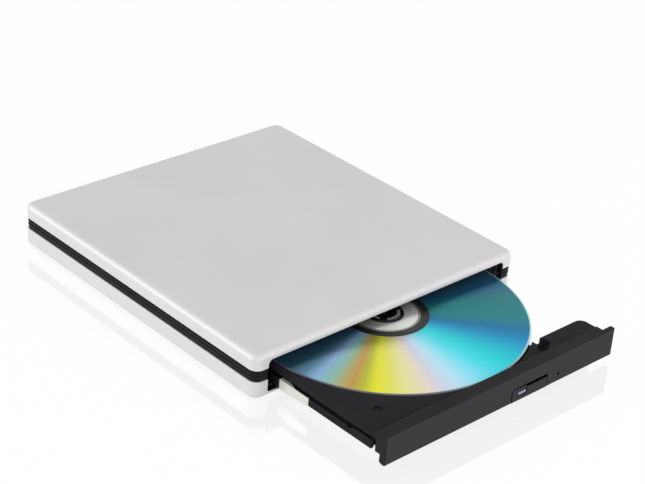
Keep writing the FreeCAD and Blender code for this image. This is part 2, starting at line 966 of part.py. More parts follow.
def tray_wing():
    outer = tray_block((wing_left, wing_right), (tray_front, wing_back), (wing_low, wing_high))
    outer = outer.makeFillet(wing_corner, [wing_corner_edge(outer, wing_right, wing_back)])
    outer = outer.makeFillet(wing_round, level_edges(outer, wing_high))
    inside = (wing_left + wing_wall, wing_right - wing_wall)
    depth = (tray_front + wing_wall, wing_back - wing_wall)
    hollow = tray_block(inside, depth, (wing_low - over, wing_high - wing_wall))
    hollow = hollow.makeFillet(wing_corner - wing_wall, [wing_corner_edge(hollow, inside[1], depth[1])])
    notch = tray_block(wing_notch, (depth[1] - over, wing_back + over), (wing_low - over, wing_notch_high))
    return outer.cut(hollow).cut(notch)


def wing_corner_edge(shape, x, depth):
    upright = edges_along(shape, 2)
    place = Vector(x, behind_bezel(depth), 0)
    return min(upright, key=lambda e: math.hypot(e.BoundBox.XMin - place.x, e.BoundBox.YMin - place.y))


def tray_plate():
    """The tray's deck: rim, disc recess and the cut-out over the traverse."""
    right_edge = rail_span("right", (skirt_outer, skirt_inner))[1]
    left_skirt = rail_span("left", (skirt_outer, skirt_inner))[0]
    body = tray_block((rim_left, right_edge), (tray_front, tray_back), (tray_floor_low, rim_high))
    rear = [e for e in edges_along(body, 2) if e.BoundBox.YMin > behind_bezel(tray_back) - over]
    body = body.makeFillet(tray_corner, rear)
    left_edges = [e for e in edges_along(body, 1) if e.BoundBox.XMax < rim_left + tiny]
    body = body.makeChamfer(rim_chamfer, [e for e in left_edges if e.BoundBox.ZMin > pad_high])
    whole = (0, tray_back + over)
    below = tray_block((rim_left - over, left_skirt), whole, (tray_floor_low - over, rim_undercut))
    inboard = tray_block((rim_inner, right_edge + over), whole, (pad_high, rim_high + over))
    recess = post(recess_radius, 0, spindle_y, (tray_floor_high, rim_high + over))
    hole = on_traverse(traverse_outline(cutout_gap, grown((tray_floor_low, tray_floor_high))))
    return body.cut(below).cut(inboard).cut(recess).cut(hole)


def tray():
    left = rail_span("left", (skirt_outer, skirt_inner))
    right = rail_span("right", (skirt_outer, skirt_inner))
    under = (runner_low, tray_floor_low + fit_gap)
    dimple_y = behind_bezel(dimple_right[1])
    dimple_floor = pad_high - dimple_depth - dimple_wall
    wing_flat = wing_high - wing_round
    collar = post(dimple_clear + dimple_wall, dimple_right[0], dimple_y, (dimple_floor, wing_flat))
    wing_space = tray_block((wing_left, wing_right), (tray_front, wing_back), (dimple_floor, wing_high))
    parts = [tray_plate(), tray_wing(), collar.common(wing_space)]
    parts.append(tray_block(left, (skirt_front_left, skirt_back), under))
    parts.append(tray_block(right, (skirt_front_right, skirt_back), under))
    front = (tray_front, tray_front + front_wall)
    parts.append(tray_block((front_wall_left, right[1]), front, (runner_low, rim_undercut)))
    for x, depth in cover_posts:
        parts.append(post(post_radius, x, behind_bezel(depth), (bottom_high, under[1])))
    for x, depth in switch_hangers:
        parts.append(post(hanger_radius, x, behind_bezel(depth), (switch_board_low + board_sheet, under[1])))
    for x, depth in tray_hangers:
        parts.append(post(hanger_radius, x, behind_bezel(depth), (tray_board_low + board_sheet, under[1])))
    parts.append(post(lever_pin_radius, lever_pin[0], behind_bezel(lever_pin[1]), (lever_low, wing_flat)))
    body = join(parts + bush_posts())
    body = body.cut(post(dimple_clear, dimple_right[0], dimple_y, (pad_high, wing_high + over)))
    open_x = (wing_left - over, wing_back_left)
    open_t = (dimple_right[1], wing_back + over)
    body = body.cut(tray_block(open_x, open_t, (pad_high, wing_high + over)))
    body = body.cut(post(dimple_radius, dimple_right[0], dimple_y, (pad_high - dimple_depth, wing_high)))
    left_y = behind_bezel(dimple_left[1])
    body = body.cut(post(dimple_radius, dimple_left[0], left_y, (pad_high - dimple_depth, rim_high)))
    for x, depth in cover_posts:
        body = body.cut(post(post_hole, x, behind_bezel(depth), (bottom_high - over, tray_floor_low)))
    for hole in bush_screw_shafts():
        body = body.cut(hole)
    return body.cut(front_wall_holes())


def front_wall_holes():
    through = grown((tray_front, tray_front + front_wall))
    hole_x = (stem_x[0] - stem_gap, stem_x[1] + stem_gap)
    hole_z = (stem_z[0] - stem_gap, stem_z[1] + stem_gap)
    seat_x = (pipe_x[0] - pipe_seat_gap, pipe_x[1] + pipe_seat_gap)
    seat_z = (pipe_z[0] - pipe_seat_gap, pipe_z[1] + pipe_seat_gap)
    return tray_block(hole_x, through, hole_z).fuse(tray_block(seat_x, through, seat_z))


def bush_posts():
    return [on_traverse(post(bush_bore, u, v, (bush_low, tray_floor_low + fit_gap))) for u, v in ears]


def bush_screw_shafts():
    return [on_traverse(post(bush_screw_radius, u, v, (bush_low - over, bush_screw_top))) for u, v in ears]


def tray_bottom_cover():
    y = (behind_bezel(bottom_t[0]), behind_bezel(bottom_t[1]))
    body = rounded_block(bottom_x, y, (bottom_low, bottom_high), bottom_corner)
    for x, depth in cover_posts:
        body = body.cut(post(post_hole, x, behind_bezel(depth), grown((bottom_low, bottom_high))))
    return body


def tray_screws():
    screws = []
    for x, depth in cover_posts:
        y = behind_bezel(depth)
        head = post(tray_screw_head, x, y, (tray_screw_head_low, bottom_low))
        screws.append(join([head, post(tray_screw_radius, x, y, (bottom_low, tray_screw_top))]))
    return Part.makeCompound(screws)


# The bezel and the eject button


def bezel():
    plate = tray_block((-bezel_half, bezel_half), (0, bezel_plate), (bezel_low, bezel_high))
    face_edges = [e for e in plate.Edges if e.BoundBox.YMax < behind_bezel(0) + tiny]
    plate = plate.makeFillet(bezel_round, face_edges)
    ledge = tray_block((-bezel_half, ledge_right), (bezel_plate, tray_front), (ledge_low, wing_high))
    cheek_x = (-bezel_half, cheek_wall - bezel_half)
    cheek = tray_block(cheek_x, (bezel_plate, cheek_back), (cheek_low, wing_high))
    foot = tray_block(cheek_x, (bezel_plate, cheek_foot_back), (cheek_foot_low, cheek_low))
    parts = [plate, ledge, cheek, foot]
    for x in tab_x:
        parts.append(tray_block((x - tab_half, x + tab_half), (bezel_plate, tray_front), (tab_low, tab_high)))
    body = join(parts)
    notch_x = (button_left - button_gap, button_right + button_gap)
    notch = tray_block(notch_x, (-over, bezel_plate + fit_gap), (bezel_low - over, button_high + button_gap))
    notch = notch.makeFillet(button_round + button_gap, upper_edge(notch, "left"))
    notch = notch.makeFillet(button_slot_round, upper_edge(notch, "right"))
    low_y = behind_bezel(-over)
    high_y = behind_bezel(bezel_plate + over)
    pinhole = bar(pinhole_radius, Vector(pinhole_x, low_y, pinhole_z), Vector(pinhole_x, high_y, pinhole_z))
    return body.cut(notch).cut(pinhole)


def upper_edge(shape, side):
    """The lengthwise edge at the upper left or right of a block."""
    box = shape.BoundBox
    x = box.XMin if side == "left" else box.XMax
    upper = [e for e in edges_along(shape, 1) if e.BoundBox.ZMin > box.ZMax - tiny]
    return [e for e in upper if abs(e.BoundBox.Center.x - x) < tiny]


def eject_button():
    face_back = bezel_plate + button_flange_gap
    face = tray_block((button_left, button_right), (0, face_back), (button_low, button_high))
    face = face.makeFillet(button_round, upper_edge(face, "left"))
    slot_x = (button_slot_left, button_right + over)
    slot = tray_block(slot_x, (-over, bezel_plate), (button_slot_low, button_high + over))
    face = face.cut(slot)
    flange_x = (button_left - button_flange_over, button_right + button_flange_over)
    flange_z = (button_low, button_high + button_flange_over)
    flange = tray_block(flange_x, (face_back, button_flange_back), flange_z)
    stem = tray_block(stem_x, (button_flange_back, stem_back), stem_z)
    hole_x = (pipe_x[0] - pipe_gap, pipe_x[1] + pipe_gap)
    hole_z = (pipe_z[0] - pipe_gap, pipe_z[1] + pipe_gap)
    return join([face, flange, stem]).cut(tray_block(hole_x, (-over, button_flange_back + over), hole_z))


def coil_point(turn, rise):
    """A point of the spring's helix, which starts at the front of its seat."""
    angle = 2 * math.pi * turn
    return Vector(spring_radius * math.cos(angle), rise * turn, -spring_radius * math.sin(angle))


def coil_heading(turn, rise):
    """The direction in which the wire runs there."""
    angle = 2 * math.pi * turn
    round_way = 2 * math.pi * spring_radius
    return Vector(-round_way * math.sin(angle), rise, -round_way * math.cos(angle)).normalize()


def tangent_arc(start, corner, end):
    """An arc from start to end that touches both legs of the corner between them."""
    middle = start.add(end).multiply(0.5)
    half = end.sub(start).Length / 2
    turn = math.atan2(corner.sub(middle).Length, half)
    crown = corner.sub(middle).normalize().multiply(half * math.tan(turn / 2))
    return Part.Arc(start, middle.add(crown), end).toShape()


def arc_pair(start, heading, end, end_heading):
    """Two arcs that leave start and reach end in the given directions."""
    span = end.sub(start)
    both = heading.add(end_heading)
    square = 2 * (1 - heading.dot(end_heading))
    across = 2 * span.dot(both)
    leg = (math.sqrt(across ** 2 + 4 * square * span.dot(span)) - across) / (2 * square)
    first = start.add(Vector(heading).multiply(leg))
    second = end.sub(Vector(end_heading).multiply(leg))
    meeting = first.add(second).multiply(0.5)
    return [tangent_arc(start, first, meeting), tangent_arc(meeting, second, end)]


def button_spring():
    """A coil between the button's flange and the tray's front wall."""
    front = button_flange_back + spring_wire + spring_end_gap
    rise = (tray_front - spring_wire - spring_end_gap - front) / spring_turns
    turns = [number / spring_shares for number in range(spring_turns * spring_shares + 1)]
    points = [coil_point(turn, rise) for turn in turns]
    headings = [coil_heading(turn, rise) for turn in turns]
    arcs = []
    for number in range(len(turns) - 1):
        arcs += arc_pair(points[number], headings[number], points[number + 1], headings[number + 1])
    profile = Part.Wire(Part.makeCircle(spring_wire, points[0], headings[0]))
    body = Part.Wire(arcs).makePipeShell([profile], True)
    body.translate(Vector(spring_x, behind_bezel(front), spring_z))
    return body


def light_pipe():
    return tray_block(pipe_x, (pipe_front, pipe_back), pipe_z)


def switch_board():
    low = switch_board_low
    return tray_block(switch_board_x, switch_board_t, (low, low + board_sheet))


def eject_switch():
    base = switch_board_low + board_sheet
    across = (switch_middle - switch_half, switch_middle + switch_half)
    body = tray_block(across, switch_t, (base, base + switch_height))
    tip = Vector(switch_middle, behind_bezel(plunger_front), plunger_z)
    root = Vector(switch_middle, behind_bezel(switch_t[1]), plunger_z)
    return join([body, bar(plunger_radius, tip, root)])


def busy_lamp():
    base = switch_board_low + board_sheet
    across = (lamp_middle - lamp_half, lamp_middle + lamp_half)
    return tray_block(across, lamp_t, (base, base + lamp_height))


def tray_board():
    board = tray_block(tray_board_x, tray_board_t, (tray_board_low, tray_board_low + board_sheet))
    plug_z = (tray_board_low - fit_gap, tray_board_low + board_sheet + ribbon_plug_height)
    plug = tray_block(ribbon_x, ribbon_plug_t, plug_z)
    return join([board, plug])


# The latch parts in the wing


def latch_lever():
    y = behind_bezel(lever_pin[1])
    z = (lever_low, lever_high)
    eye = post(lever_eye_radius, lever_pin[0], y, z)
    arm = block((lever_pin[0], lever_nose), (y - lever_arm, y + lever_arm), z)
    hook = tray_block((lever_nose - hook_thick, lever_nose), hook_t, (lever_low, solenoid_z[1]))
    return join([eye, arm, hook]).cut(post(lever_pin_radius, lever_pin[0], y, grown(z)))


def solenoid():
    coil = tray_block(solenoid_x, solenoid_t, solenoid_z)
    middle_y = behind_bezel((solenoid_t[0] + solenoid_t[1]) / 2)
    core_z = solenoid_z[1] - solenoid_core_drop
    tip = Vector(lever_nose, middle_y, core_z)
    return join([coil, bar(solenoid_core, tip, Vector(solenoid_x[0] + over, middle_y, core_z))])


# The traverse


def traverse_frame():
    high = frame_low + frame_sheet
    z = (frame_low, high)
    through = grown(z)
    plate = traverse_outline(0, z)
    body = join([plate] + [post(ear_radius, u, v, z) for u, v in ears])
    tab = block(screw_tab, (lead_across - holder_half, screw_window_across), (screw_tab_low, high))
    windows = [block(window_along, (-window_across, window_across), through)]
    windows.append(block(screw_window_along, (window_across - fit_gap, screw_window_across), through))
    windows.append(block((screw_window_along[0], motor_window_end), motor_window_across, through))
    windows.append(post(motor_hole, 0, 0, through))
    for u, v in ears:
        windows.append(post(ear_hole, u, v, through))
    for window in windows:
        body = body.cut(window)
    bearing = bar_along(lead_radius + holder_fit, grown(screw_tab), lead_across, lead_z)
    return on_traverse(join([body, tab]).cut(bearing))


def traverse_cover():
    z = (cover_low, cover_low + cover_sheet)
    body = traverse_outline(-cover_inset, z)
    body = body.cut(post(cover_hole, 0, 0, grown(z)))
    body = body.cut(block(lens_slot_along, (-lens_slot_across, lens_slot_across), grown(z)))
    feet = [post(cover_foot_radius, u, v, (frame_low + frame_sheet, z[1])) for u, v in cover_feet]
    return on_traverse(join([body] + feet))


def damper_bushes():
    bushes = []
    for u, v in ears:
        flanges = [post(bush_flange, u, v, (bush_low, frame_low))]
        flanges.append(post(bush_waist, u, v, (bush_low, tray_floor_low)))
        flanges.append(post(bush_flange, u, v, (frame_low + frame_sheet, tray_floor_low)))
        bore = post(bush_bore, u, v, grown((bush_low, tray_floor_low)))
        bushes.append(on_traverse(join(flanges).cut(bore)))
    return Part.makeCompound(bushes)


def damper_screws():
    screws = []
    for u, v in ears:
        head = post(bush_screw_head, u, v, (bush_low - bush_screw_head_height, bush_low))
        shaft = post(bush_screw_radius, u, v, (bush_low - fit_gap, bush_screw_top))
        screws.append(on_traverse(join([head, shaft])))
    return Part.makeCompound(screws)


def guide_rods():
    rods = []
    for v in (-rod_across, rod_across):
        rods.append(on_traverse(bar_along(rod_radius, rod_along, v, rod_z)))
    return Part.makeCompound(rods)


def rod_holders():
    holders = []
    for v in (-rod_across, rod_across):
        bore = bar_along(rod_radius + holder_fit, (0, rod_along[1] + over), v, rod_z)
        for ends in (holder_near, holder_far):
            clip = block(ends, (v - holder_half, v + holder_half), (holder_low, frame_low))
            holders.append(on_traverse(clip.cut(bore)))
    return Part.makeCompound(holders)


def sled_motor():
    can = bar_along(sled_radius, sled_along, lead_across, lead_z)
    across = (lead_across - sled_flange_half, lead_across + sled_flange_half)
    plate = block((sled_along[1] - sled_flange, sled_along[1]), across, (sled_low, sled_top))
    return on_traverse(join([can, plate]))


def lead_screw():
    return on_traverse(bar_along(lead_radius, lead_along, lead_across, lead_z))


# The spindle


def spindle_motor():
    base_z = (motor_base_low, motor_base_low + motor_base_sheet)
    parts = [block(motor_base_along, (-motor_base_half, motor_base_half), base_z)]
    parts.append(post(stator_radius, 0, 0, (motor_base_low, stator_top)))
    for u, v in motor_legs:
        parts.append(post(motor_leg, u, v, (motor_base_low, frame_low)))
    body = join(parts).cut(post(shaft_radius + shaft_play, 0, 0, (shaft_low, stator_top + over)))
    return on_traverse(body)


def rotor():
    inside = post(cup_radius - cup_wall, 0, 0, (cup_low - over, cup_top - cup_wall))
    cup = post(cup_radius, 0, 0, (cup_low, cup_top)).cut(inside)
    parts = [cup, post(shaft_radius, 0, 0, (shaft_low + shaft_play, cup_top))]
    parts.append(post(neck_radius, 0, 0, (cup_top - cup_wall, turntable_top)))
    parts.append(post(turntable_radius, 0, 0, (turntable_low, turntable_top)))
    return on_traverse(join(parts))


def grip_ring():
    z = (turntable_top, disc_low)
    return on_traverse(post(grip_outer, 0, 0, z).cut(post(grip_inner, 0, 0, grown(z))))


def catch_arm(turn):
    """One of the sprung fingers that snap over the disc's inner edge."""
    half = catch_width / 2
    finger = block((catch_root, catch_reach), (-half, half), (catch_low, catch_top))
    tip = finger.common(post(catch_reach, 0, 0, (catch_low, catch_top)))
    stalk = block((catch_root, hub_radius - catch_stalk_inset), (-half, half), (turntable_top, catch_top))
    arm = join([tip, stalk])
    arm.rotate(Vector(0, 0, 0), Vector(0, 0, 1), turn)
    return arm


def hub():
    body = post(hub_radius, 0, 0, (turntable_top, hub_top))
    body = body.makeChamfer(hub_chamfer, level_edges(body, hub_top))
    body = body.cut(post(hub_dish_radius, 0, 0, (hub_top - hub_dish_depth, hub_top + over)))
    half = catch_width / 2 + catch_slot
    slot_along = (catch_root - catch_slot, hub_radius + over)
    for number in range(catch_count):
        slot = block(slot_along, (-half, half), (turntable_top, hub_top + over))
        slot.rotate(Vector(0, 0, 0), Vector(0, 0, 1), number * 360 / catch_count)
        body = body.cut(slot)
    return on_traverse(body)


def hub_catches():
    turns = [number * 360 / catch_count for number in range(catch_count)]
    return Part.makeCompound([on_traverse(catch_arm(turn)) for turn in turns])


def disc():
    z = (disc_low, disc_low + disc_thickness)
    ring = post(stack_ring[1], 0, 0, (disc_low - stack_ring_height, disc_low + fit_gap))
    ring = ring.cut(post(stack_ring[0], 0, 0, (disc_low - over, disc_low + over)))
    body = join([post(disc_radius, 0, 0, z), ring])
    return on_traverse(body.cut(post(disc_hole, 0, 0, grown(z))))


# The optical pickup


def pickup_body():
    u = (lens_along - pickup_inner, lens_along + pickup_outer)
    core = block(u, (-pickup_half, pickup_half), (pickup_low, pickup_high))
    parts = [core]
    for end in ((u[0], u[0] + lug_length), (u[1] - lug_length, u[1])):
        parts.append(block(end, lug_across, (lug_low, lug_high)))
    middle = (lens_along - arm_half, lens_along + arm_half)
    parts.append(block(middle, (-lug_across[1], -pickup_half), (lug_low, lug_high)))
    parts.append(block(middle, (pickup_half, arm_reach), (lead_z, arm_high)))
    body = join(parts)
    far = grown(u)
    body = body.cut(bar_along(rod_radius + bush_play, far, rod_across, rod_z))
    slot_v = (-lug_across[1] - over, -pickup_half - fit_gap)
    body = body.cut(block(far, slot_v, (rod_z - fork_gap, rod_z + fork_gap)))
    return on_traverse(body.cut(bar_along(lead_radius + lead_play, far, lead_across, lead_z)))


def pickup_plate():
    u = (lens_along - pickup_inner, lens_along + pickup_outer)
    z = (pickup_high, pickup_high + pickup_plate_sheet)
    body = block(u, (-pickup_half, pickup_half), z)
    opening_u = (lens_along - plate_opening_along, lens_along + plate_opening_along)
    opening = block(opening_u, (-plate_opening_across, plate_opening_across), grown(z))
    return on_traverse(body.cut(opening))


def focus_magnets():
    u = (lens_along - magnet_half, lens_along + magnet_half)
    blocks = []
    for v in ((-magnet_across[1], -magnet_across[0]), magnet_across):
        blocks.append(on_traverse(block(u, v, (pickup_high, magnet_high))))
    return Part.makeCompound(blocks)


def lens_holder():
    u = (lens_along - holder_half_width, lens_along + holder_half_width)
    body = block(u, (-holder_half_width, holder_half_width), (lens_holder_low, lens_holder_high))
    seat = post(lens_radius, lens_along, 0, (lens_holder_high - lens_seat, lens_holder_high + over))
    return on_traverse(body.cut(seat))


def lens():
    """A flat-bottomed dome set in the holder."""
    low = lens_holder_high - lens_seat
    top = lens_holder_high + lens_dome
    height = top - low
    ball_radius = (lens_radius ** 2 + height ** 2) / (2 * height)
    ball = Part.makeSphere(ball_radius, Vector(lens_along, 0, top - ball_radius))
    return on_traverse(ball.common(post(lens_radius, lens_along, 0, (low, top + over))))


# Boards and connectors


def drive_board():
    z = (drive_board_low, drive_board_low + board_sheet)
    body = case_block(drive_board_x, drive_board_d, z)
    for x, depth in drive_board_posts:
        body = body.cut(post(board_screw_radius, x, behind_case(depth), grown(z)))
    return body


def screws_at(places, top, low):
    screws = []
    for x, depth in places:
        y = behind_case(depth)
        head = post(board_screw_head, x, y, (top, top + board_screw_head_height))
        screws.append(join([head, post(board_screw_radius, x, y, (low, top))]))
    return screws


def board_screws():
    screws = screws_at(drive_board_posts, drive_board_low + board_sheet, housing_low + sheet)
    screws += screws_at(bridge_posts, bridge_low + bridge_sheet, case_floor + floor_wall)
    return Part.makeCompound(screws)


def chip_set(chips, corner, base):
    """Flat chips, each placed from its board's left front corner."""
    blocks = []
    for left, front, width, length in chips:
        x = corner[0] + left
        depth = corner[1] + front
        blocks.append(case_block((x, x + width), (depth, depth + length), (base, base + chip_height)))
    return Part.makeCompound(blocks)


def drive_board_chips():
    corner = (drive_board_x[0], drive_board_d[0])
    return chip_set(drive_chips, corner, drive_board_low + board_sheet)


def ribbon_socket():
    base = drive_board_low + board_sheet
    across = (ribbon_x[0] - ribbon_socket_side, ribbon_x[1] + ribbon_socket_side)
    depth = (ribbon_socket_front, ribbon_socket_front + ribbon_socket_length)
    return case_block(across, depth, (base, base + ribbon_socket_height))


def drive_plug():
    return case_block(plug_x, plug_d, (drive_board_low + board_sheet, plug_high))


def ribbon_cable():
    """A flat cable from the drive's board, forward to its fold and back up to the tray's board."""
    tray_end = behind_bezel(tray_board_t[1])
    board_front = behind_case(drive_board_d[0])
    gap = ribbon_bend
    fold = behind_case(ribbon_fold)
    socket = behind_case(ribbon_socket_front) - ribbon_sheet / 2
    rise = board_front - gap
    back = tray_end + gap
    top = tray_board_low + board_sheet + ribbon_plug_height / 2
    middle = (ribbon_low + ribbon_high + ribbon_sheet) / 2
    path = [(socket, ribbon_socket_z), (rise, ribbon_socket_z), (rise, ribbon_low), (fold + gap, ribbon_low)]
    path += [(fold, middle), (fold + gap, ribbon_high), (back, ribbon_high), (back, top)]
    path.append((tray_end + ribbon_sheet / 2, top))
    strips = []
    for start, end in zip(path, path[1:]):
        strips.append(ribbon_strip(start, end))
    return join(strips)


def ribbon_strip(start, end):
    """One straight stretch of the cable, between two points in Y and Z."""
    first = Vector(ribbon_x[0], start[0], start[1])
    last = Vector(ribbon_x[0], end[0], end[1])
    along = last.sub(first).normalize()
    half = ribbon_sheet / 2
    side = Vector(0, -along.z, along.y).multiply(half)
    reach = Vector(along).multiply(half)
    start_end = first.sub(reach)
    far_end = last.add(reach)
    corners = [start_end.sub(side), far_end.sub(side), far_end.add(side), start_end.add(side)]
    face = Part.Face(Part.makePolygon(corners + corners[:1]))
    return face.extrude(Vector(ribbon_x[1] - ribbon_x[0], 0, 0))


def bridge_board():
    z = (bridge_low, bridge_low + bridge_sheet)
    body = case_block((-bridge_half, bridge_half), bridge_d, z)
    for x, depth in bridge_posts:
        body = body.cut(post(board_screw_radius, x, behind_case(depth), grown(z)))
    return body


def bridge_plug():
    depth = (bridge_plug_front, bridge_plug_front + bridge_plug_length)
    return case_block(bridge_plug_x, depth, (bridge_low + bridge_sheet, bridge_plug_high))


def bridge_board_chips():
    return chip_set(bridge_chip_set, (-bridge_half, bridge_d[0]), bridge_low + bridge_sheet)


def bridge_capacitors():
    base = bridge_low + bridge_sheet
    cans = []
    for left, front in capacitors:
        y = behind_case(bridge_d[0] + front)
        cans.append(post(capacitor_radius, left - bridge_half, y, (base, base + capacitor_height)))
    return Part.makeCompound(cans)


def usb_socket():
    """A small flat data socket, open to the back, with its tongue."""
    base = bridge_low + bridge_sheet
    shell = case_block(socket_x, socket_d, (base, base + socket_height))
    lower_edges = [e for e in edges_along(shell, 1) if e.BoundBox.ZMax < base + over]
    shell = shell.makeFillet(socket_corner, lower_edges)
    inside_x = (socket_x[0] + socket_wall, socket_x[1] - socket_wall)
    inside_z = (base + socket_wall, base + socket_height - socket_wall)
    inside = case_block(inside_x, (socket_d[0] + over, socket_d[1] + over), inside_z)
    middle = base + socket_height / 2
    tongue_x = (inside_x[0] + over, inside_x[1] - over)
    tongue_z = (middle - socket_tongue / 2, middle + socket_tongue / 2)
    return join([shell.cut(inside), case_block(tongue_x, (socket_d[0], socket_d[1] - over), tongue_z)])


nodes = {
    "top_cover": top_cover,
    "mid_frame": mid_frame,
    "lower_cover": lower_cover,
    "rubber_feet": rubber_feet,
    "case_screws": case_screws,
    "drive_pan": drive_pan,
    "drive_lid": drive_lid,
    "latch_post": latch_post,
    "rail_guide_left": lambda: rail_guide("left", guide_front_left),
    "rail_guide_right": lambda: rail_guide("right", guide_front_right),
    "slide_rail_left": lambda: slide_rail("left", slide_shut_front_left),
    "slide_rail_right": lambda: slide_rail("right", slide_shut_front_right),
    "tray_runner_left": lambda: tray_runner("left", runner_front_left),
    "tray_runner_right": lambda: tray_runner("right", runner_front_right),
    "tray": tray,
    "tray_bottom_cover": tray_bottom_cover,
    "tray_screws": tray_screws,
    "bezel": bezel,
    "eject_button": eject_button,
    "button_spring": button_spring,
    "light_pipe": light_pipe,
    "switch_board": switch_board,
    "eject_switch": eject_switch,
    "busy_lamp": busy_lamp,
    "tray_board": tray_board,
    "latch_lever": latch_lever,
    "solenoid": solenoid,
    "traverse_frame": traverse_frame,
    "traverse_cover": traverse_cover,
    "damper_bushes": damper_bushes,
    "damper_screws": damper_screws,
    "guide_rods": guide_rods,
    "rod_holders": rod_holders,
    "sled_motor": sled_motor,
    "lead_screw": lead_screw,
    "spindle_motor": spindle_motor,
    "rotor": rotor,
    "grip_ring": grip_ring,
    "hub": hub,
    "hub_catches": hub_catches,
    "disc": disc,
    "pickup_body": pickup_body,
    "pickup_plate": pickup_plate,
    "focus_magnets": focus_magnets,
    "lens_holder": lens_holder,
    "lens": lens,
    "drive_board": drive_board,
    "drive_chips": drive_board_chips,
    "drive_plug": drive_plug,
    "ribbon_socket": ribbon_socket,
    "ribbon_cable": ribbon_cable,
    "board_screws": board_screws,
    "bridge_board": bridge_board,
    "bridge_plug": bridge_plug,
    "bridge_chips": bridge_board_chips,
    "bridge_capacitors": bridge_capacitors,
    "usb_socket": usb_socket,
}

os.makedirs("parts", exist_ok=True)
for name, make in nodes.items():
    make().exportStep(os.path.join("parts", name + ".step"))
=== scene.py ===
import math

import bmesh
import bpy
from mathutils import Matrix, Vector


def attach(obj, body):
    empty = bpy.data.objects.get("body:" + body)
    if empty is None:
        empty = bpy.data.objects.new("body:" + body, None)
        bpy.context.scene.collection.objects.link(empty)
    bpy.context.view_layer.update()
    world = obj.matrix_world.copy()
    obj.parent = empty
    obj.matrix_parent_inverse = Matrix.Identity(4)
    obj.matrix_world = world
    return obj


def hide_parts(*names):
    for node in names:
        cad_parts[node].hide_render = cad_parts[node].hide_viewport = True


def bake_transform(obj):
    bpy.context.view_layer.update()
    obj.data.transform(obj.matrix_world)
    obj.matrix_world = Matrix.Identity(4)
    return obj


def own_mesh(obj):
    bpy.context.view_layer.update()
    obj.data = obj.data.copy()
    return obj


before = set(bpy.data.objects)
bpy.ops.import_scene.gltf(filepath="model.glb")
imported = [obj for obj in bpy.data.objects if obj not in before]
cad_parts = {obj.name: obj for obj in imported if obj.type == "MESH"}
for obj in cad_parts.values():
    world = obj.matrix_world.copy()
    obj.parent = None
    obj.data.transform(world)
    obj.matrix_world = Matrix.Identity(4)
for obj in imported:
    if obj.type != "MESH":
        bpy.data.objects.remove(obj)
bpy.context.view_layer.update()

# The table and the light
# The drive stands on a glossy white table between white walls. A soft lamp stands low behind its left side,
# so that its edges shine, and two weaker ones light its front without a glare on its top.

mm = 0.001
scene = bpy.context.scene
scene.view_settings.view_transform = "Standard"

white = (1, 1, 1, 1)
table_half = 4.0
table_gap = 0.02 * mm
table_grain = 40.0
table_shades = (0.93, 0.96)
table_white_share = 0.95
table_gloss = 0.11
table_gloss_spread = 0.06
wall_light = 0.54


def shown(red, green, blue):
    """The light that shows as these screen values of 0 to 255."""
    levels = [value / 255 for value in (red, green, blue)]
    lights = [((level + 0.055) / 1.055) ** 2.4 if level > 0.04 else level / 12.92 for level in levels]
    return (*lights, 1)


def add(tree, kind, inputs=None, **settings):
    """A shader node with its settings, and with a value or a link for each named input."""
    made = tree.nodes.new(kind)
    for key, value in settings.items():
        setattr(made, key, value)
    for key, value in (inputs or {}).items():
        if isinstance(value, bpy.types.NodeSocket):
            tree.links.new(value, made.inputs[key])
        else:
            made.inputs[key].default_value = value
    return made


def maths(tree, operation, *values):
    """What an operation on one or two numbers gives."""
    return add(tree, "ShaderNodeMath", dict(enumerate(values)), operation=operation).outputs[0]


def looked_at(tree):
    """1 where the camera, or a mirroring or clear surface, looks. 0 where light only falls."""
    path = add(tree, "ShaderNodeLightPath").outputs
    seen = maths(tree, "MAXIMUM", path["Is Camera Ray"], path["Is Glossy Ray"])
    return maths(tree, "MAXIMUM", seen, path["Is Transmission Ray"])


def table_finish():
    """White gloss paint with a faint grain, nearly as white as the walls where the camera looks."""
    material = bpy.data.materials.new("white_table")
    material.use_nodes = True
    tree = material.node_tree
    tree.nodes.clear()
    grain = add(tree, "ShaderNodeTexNoise", {"Scale": table_grain, "Detail": 2.0})
    paint = add(tree, "ShaderNodeValToRGB", {0: grain.outputs["Fac"]})
    for stop, shade in zip(paint.color_ramp.elements, table_shades):
        stop.color = (shade, shade, shade, 1)
    matt = add(tree, "ShaderNodeBsdfDiffuse", {"Color": paint.outputs[0]})
    glow = add(tree, "ShaderNodeEmission", {"Color": white, "Strength": 1.0})
    share = maths(tree, "MULTIPLY", looked_at(tree), table_white_share)
    lit = add(tree, "ShaderNodeMixShader", {0: share, 1: matt.outputs[0], 2: glow.outputs[0]})
    gloss = add(tree, "ShaderNodeBsdfGlossy", {"Color": white, "Roughness": table_gloss_spread})
    whole = add(tree, "ShaderNodeMixShader", {0: table_gloss, 1: lit.outputs[0], 2: gloss.outputs[0]})
    add(tree, "ShaderNodeOutputMaterial", {"Surface": whole.outputs[0]})
    material.cycles.emission_sampling = "NONE"
    return material


def white_surround():
    """Walls that light the drive softly and look white."""
    world = bpy.data.worlds.new("white_walls")
    world.use_nodes = True
    tree = world.node_tree
    tree.nodes.clear()
    strength = add(tree, "ShaderNodeMapRange", {0: looked_at(tree), 3: wall_light, 4: 1.0})
    sky = add(tree, "ShaderNodeBackground", {"Color": white, "Strength": strength.outputs[0]})
    add(tree, "ShaderNodeOutputWorld", {"Surface": sky.outputs[0]})
    scene.world = world


def soft_lamp(name, place, width, power, mirrored):
    """A square lamp aimed at the drive, which glossy surfaces mirror or not."""
    lamp = bpy.data.lights.new(name, "AREA")
    lamp.shape = "SQUARE"
    lamp.size = width
    lamp.energy = power
    stand = bpy.data.objects.new(name, lamp)
    stand.location = place
    stand.rotation_euler = (-Vector(place)).to_track_quat("-Z", "Y").to_euler()
    stand.visible_camera = False
    stand.visible_glossy = mirrored
    scene.collection.objects.link(stand)


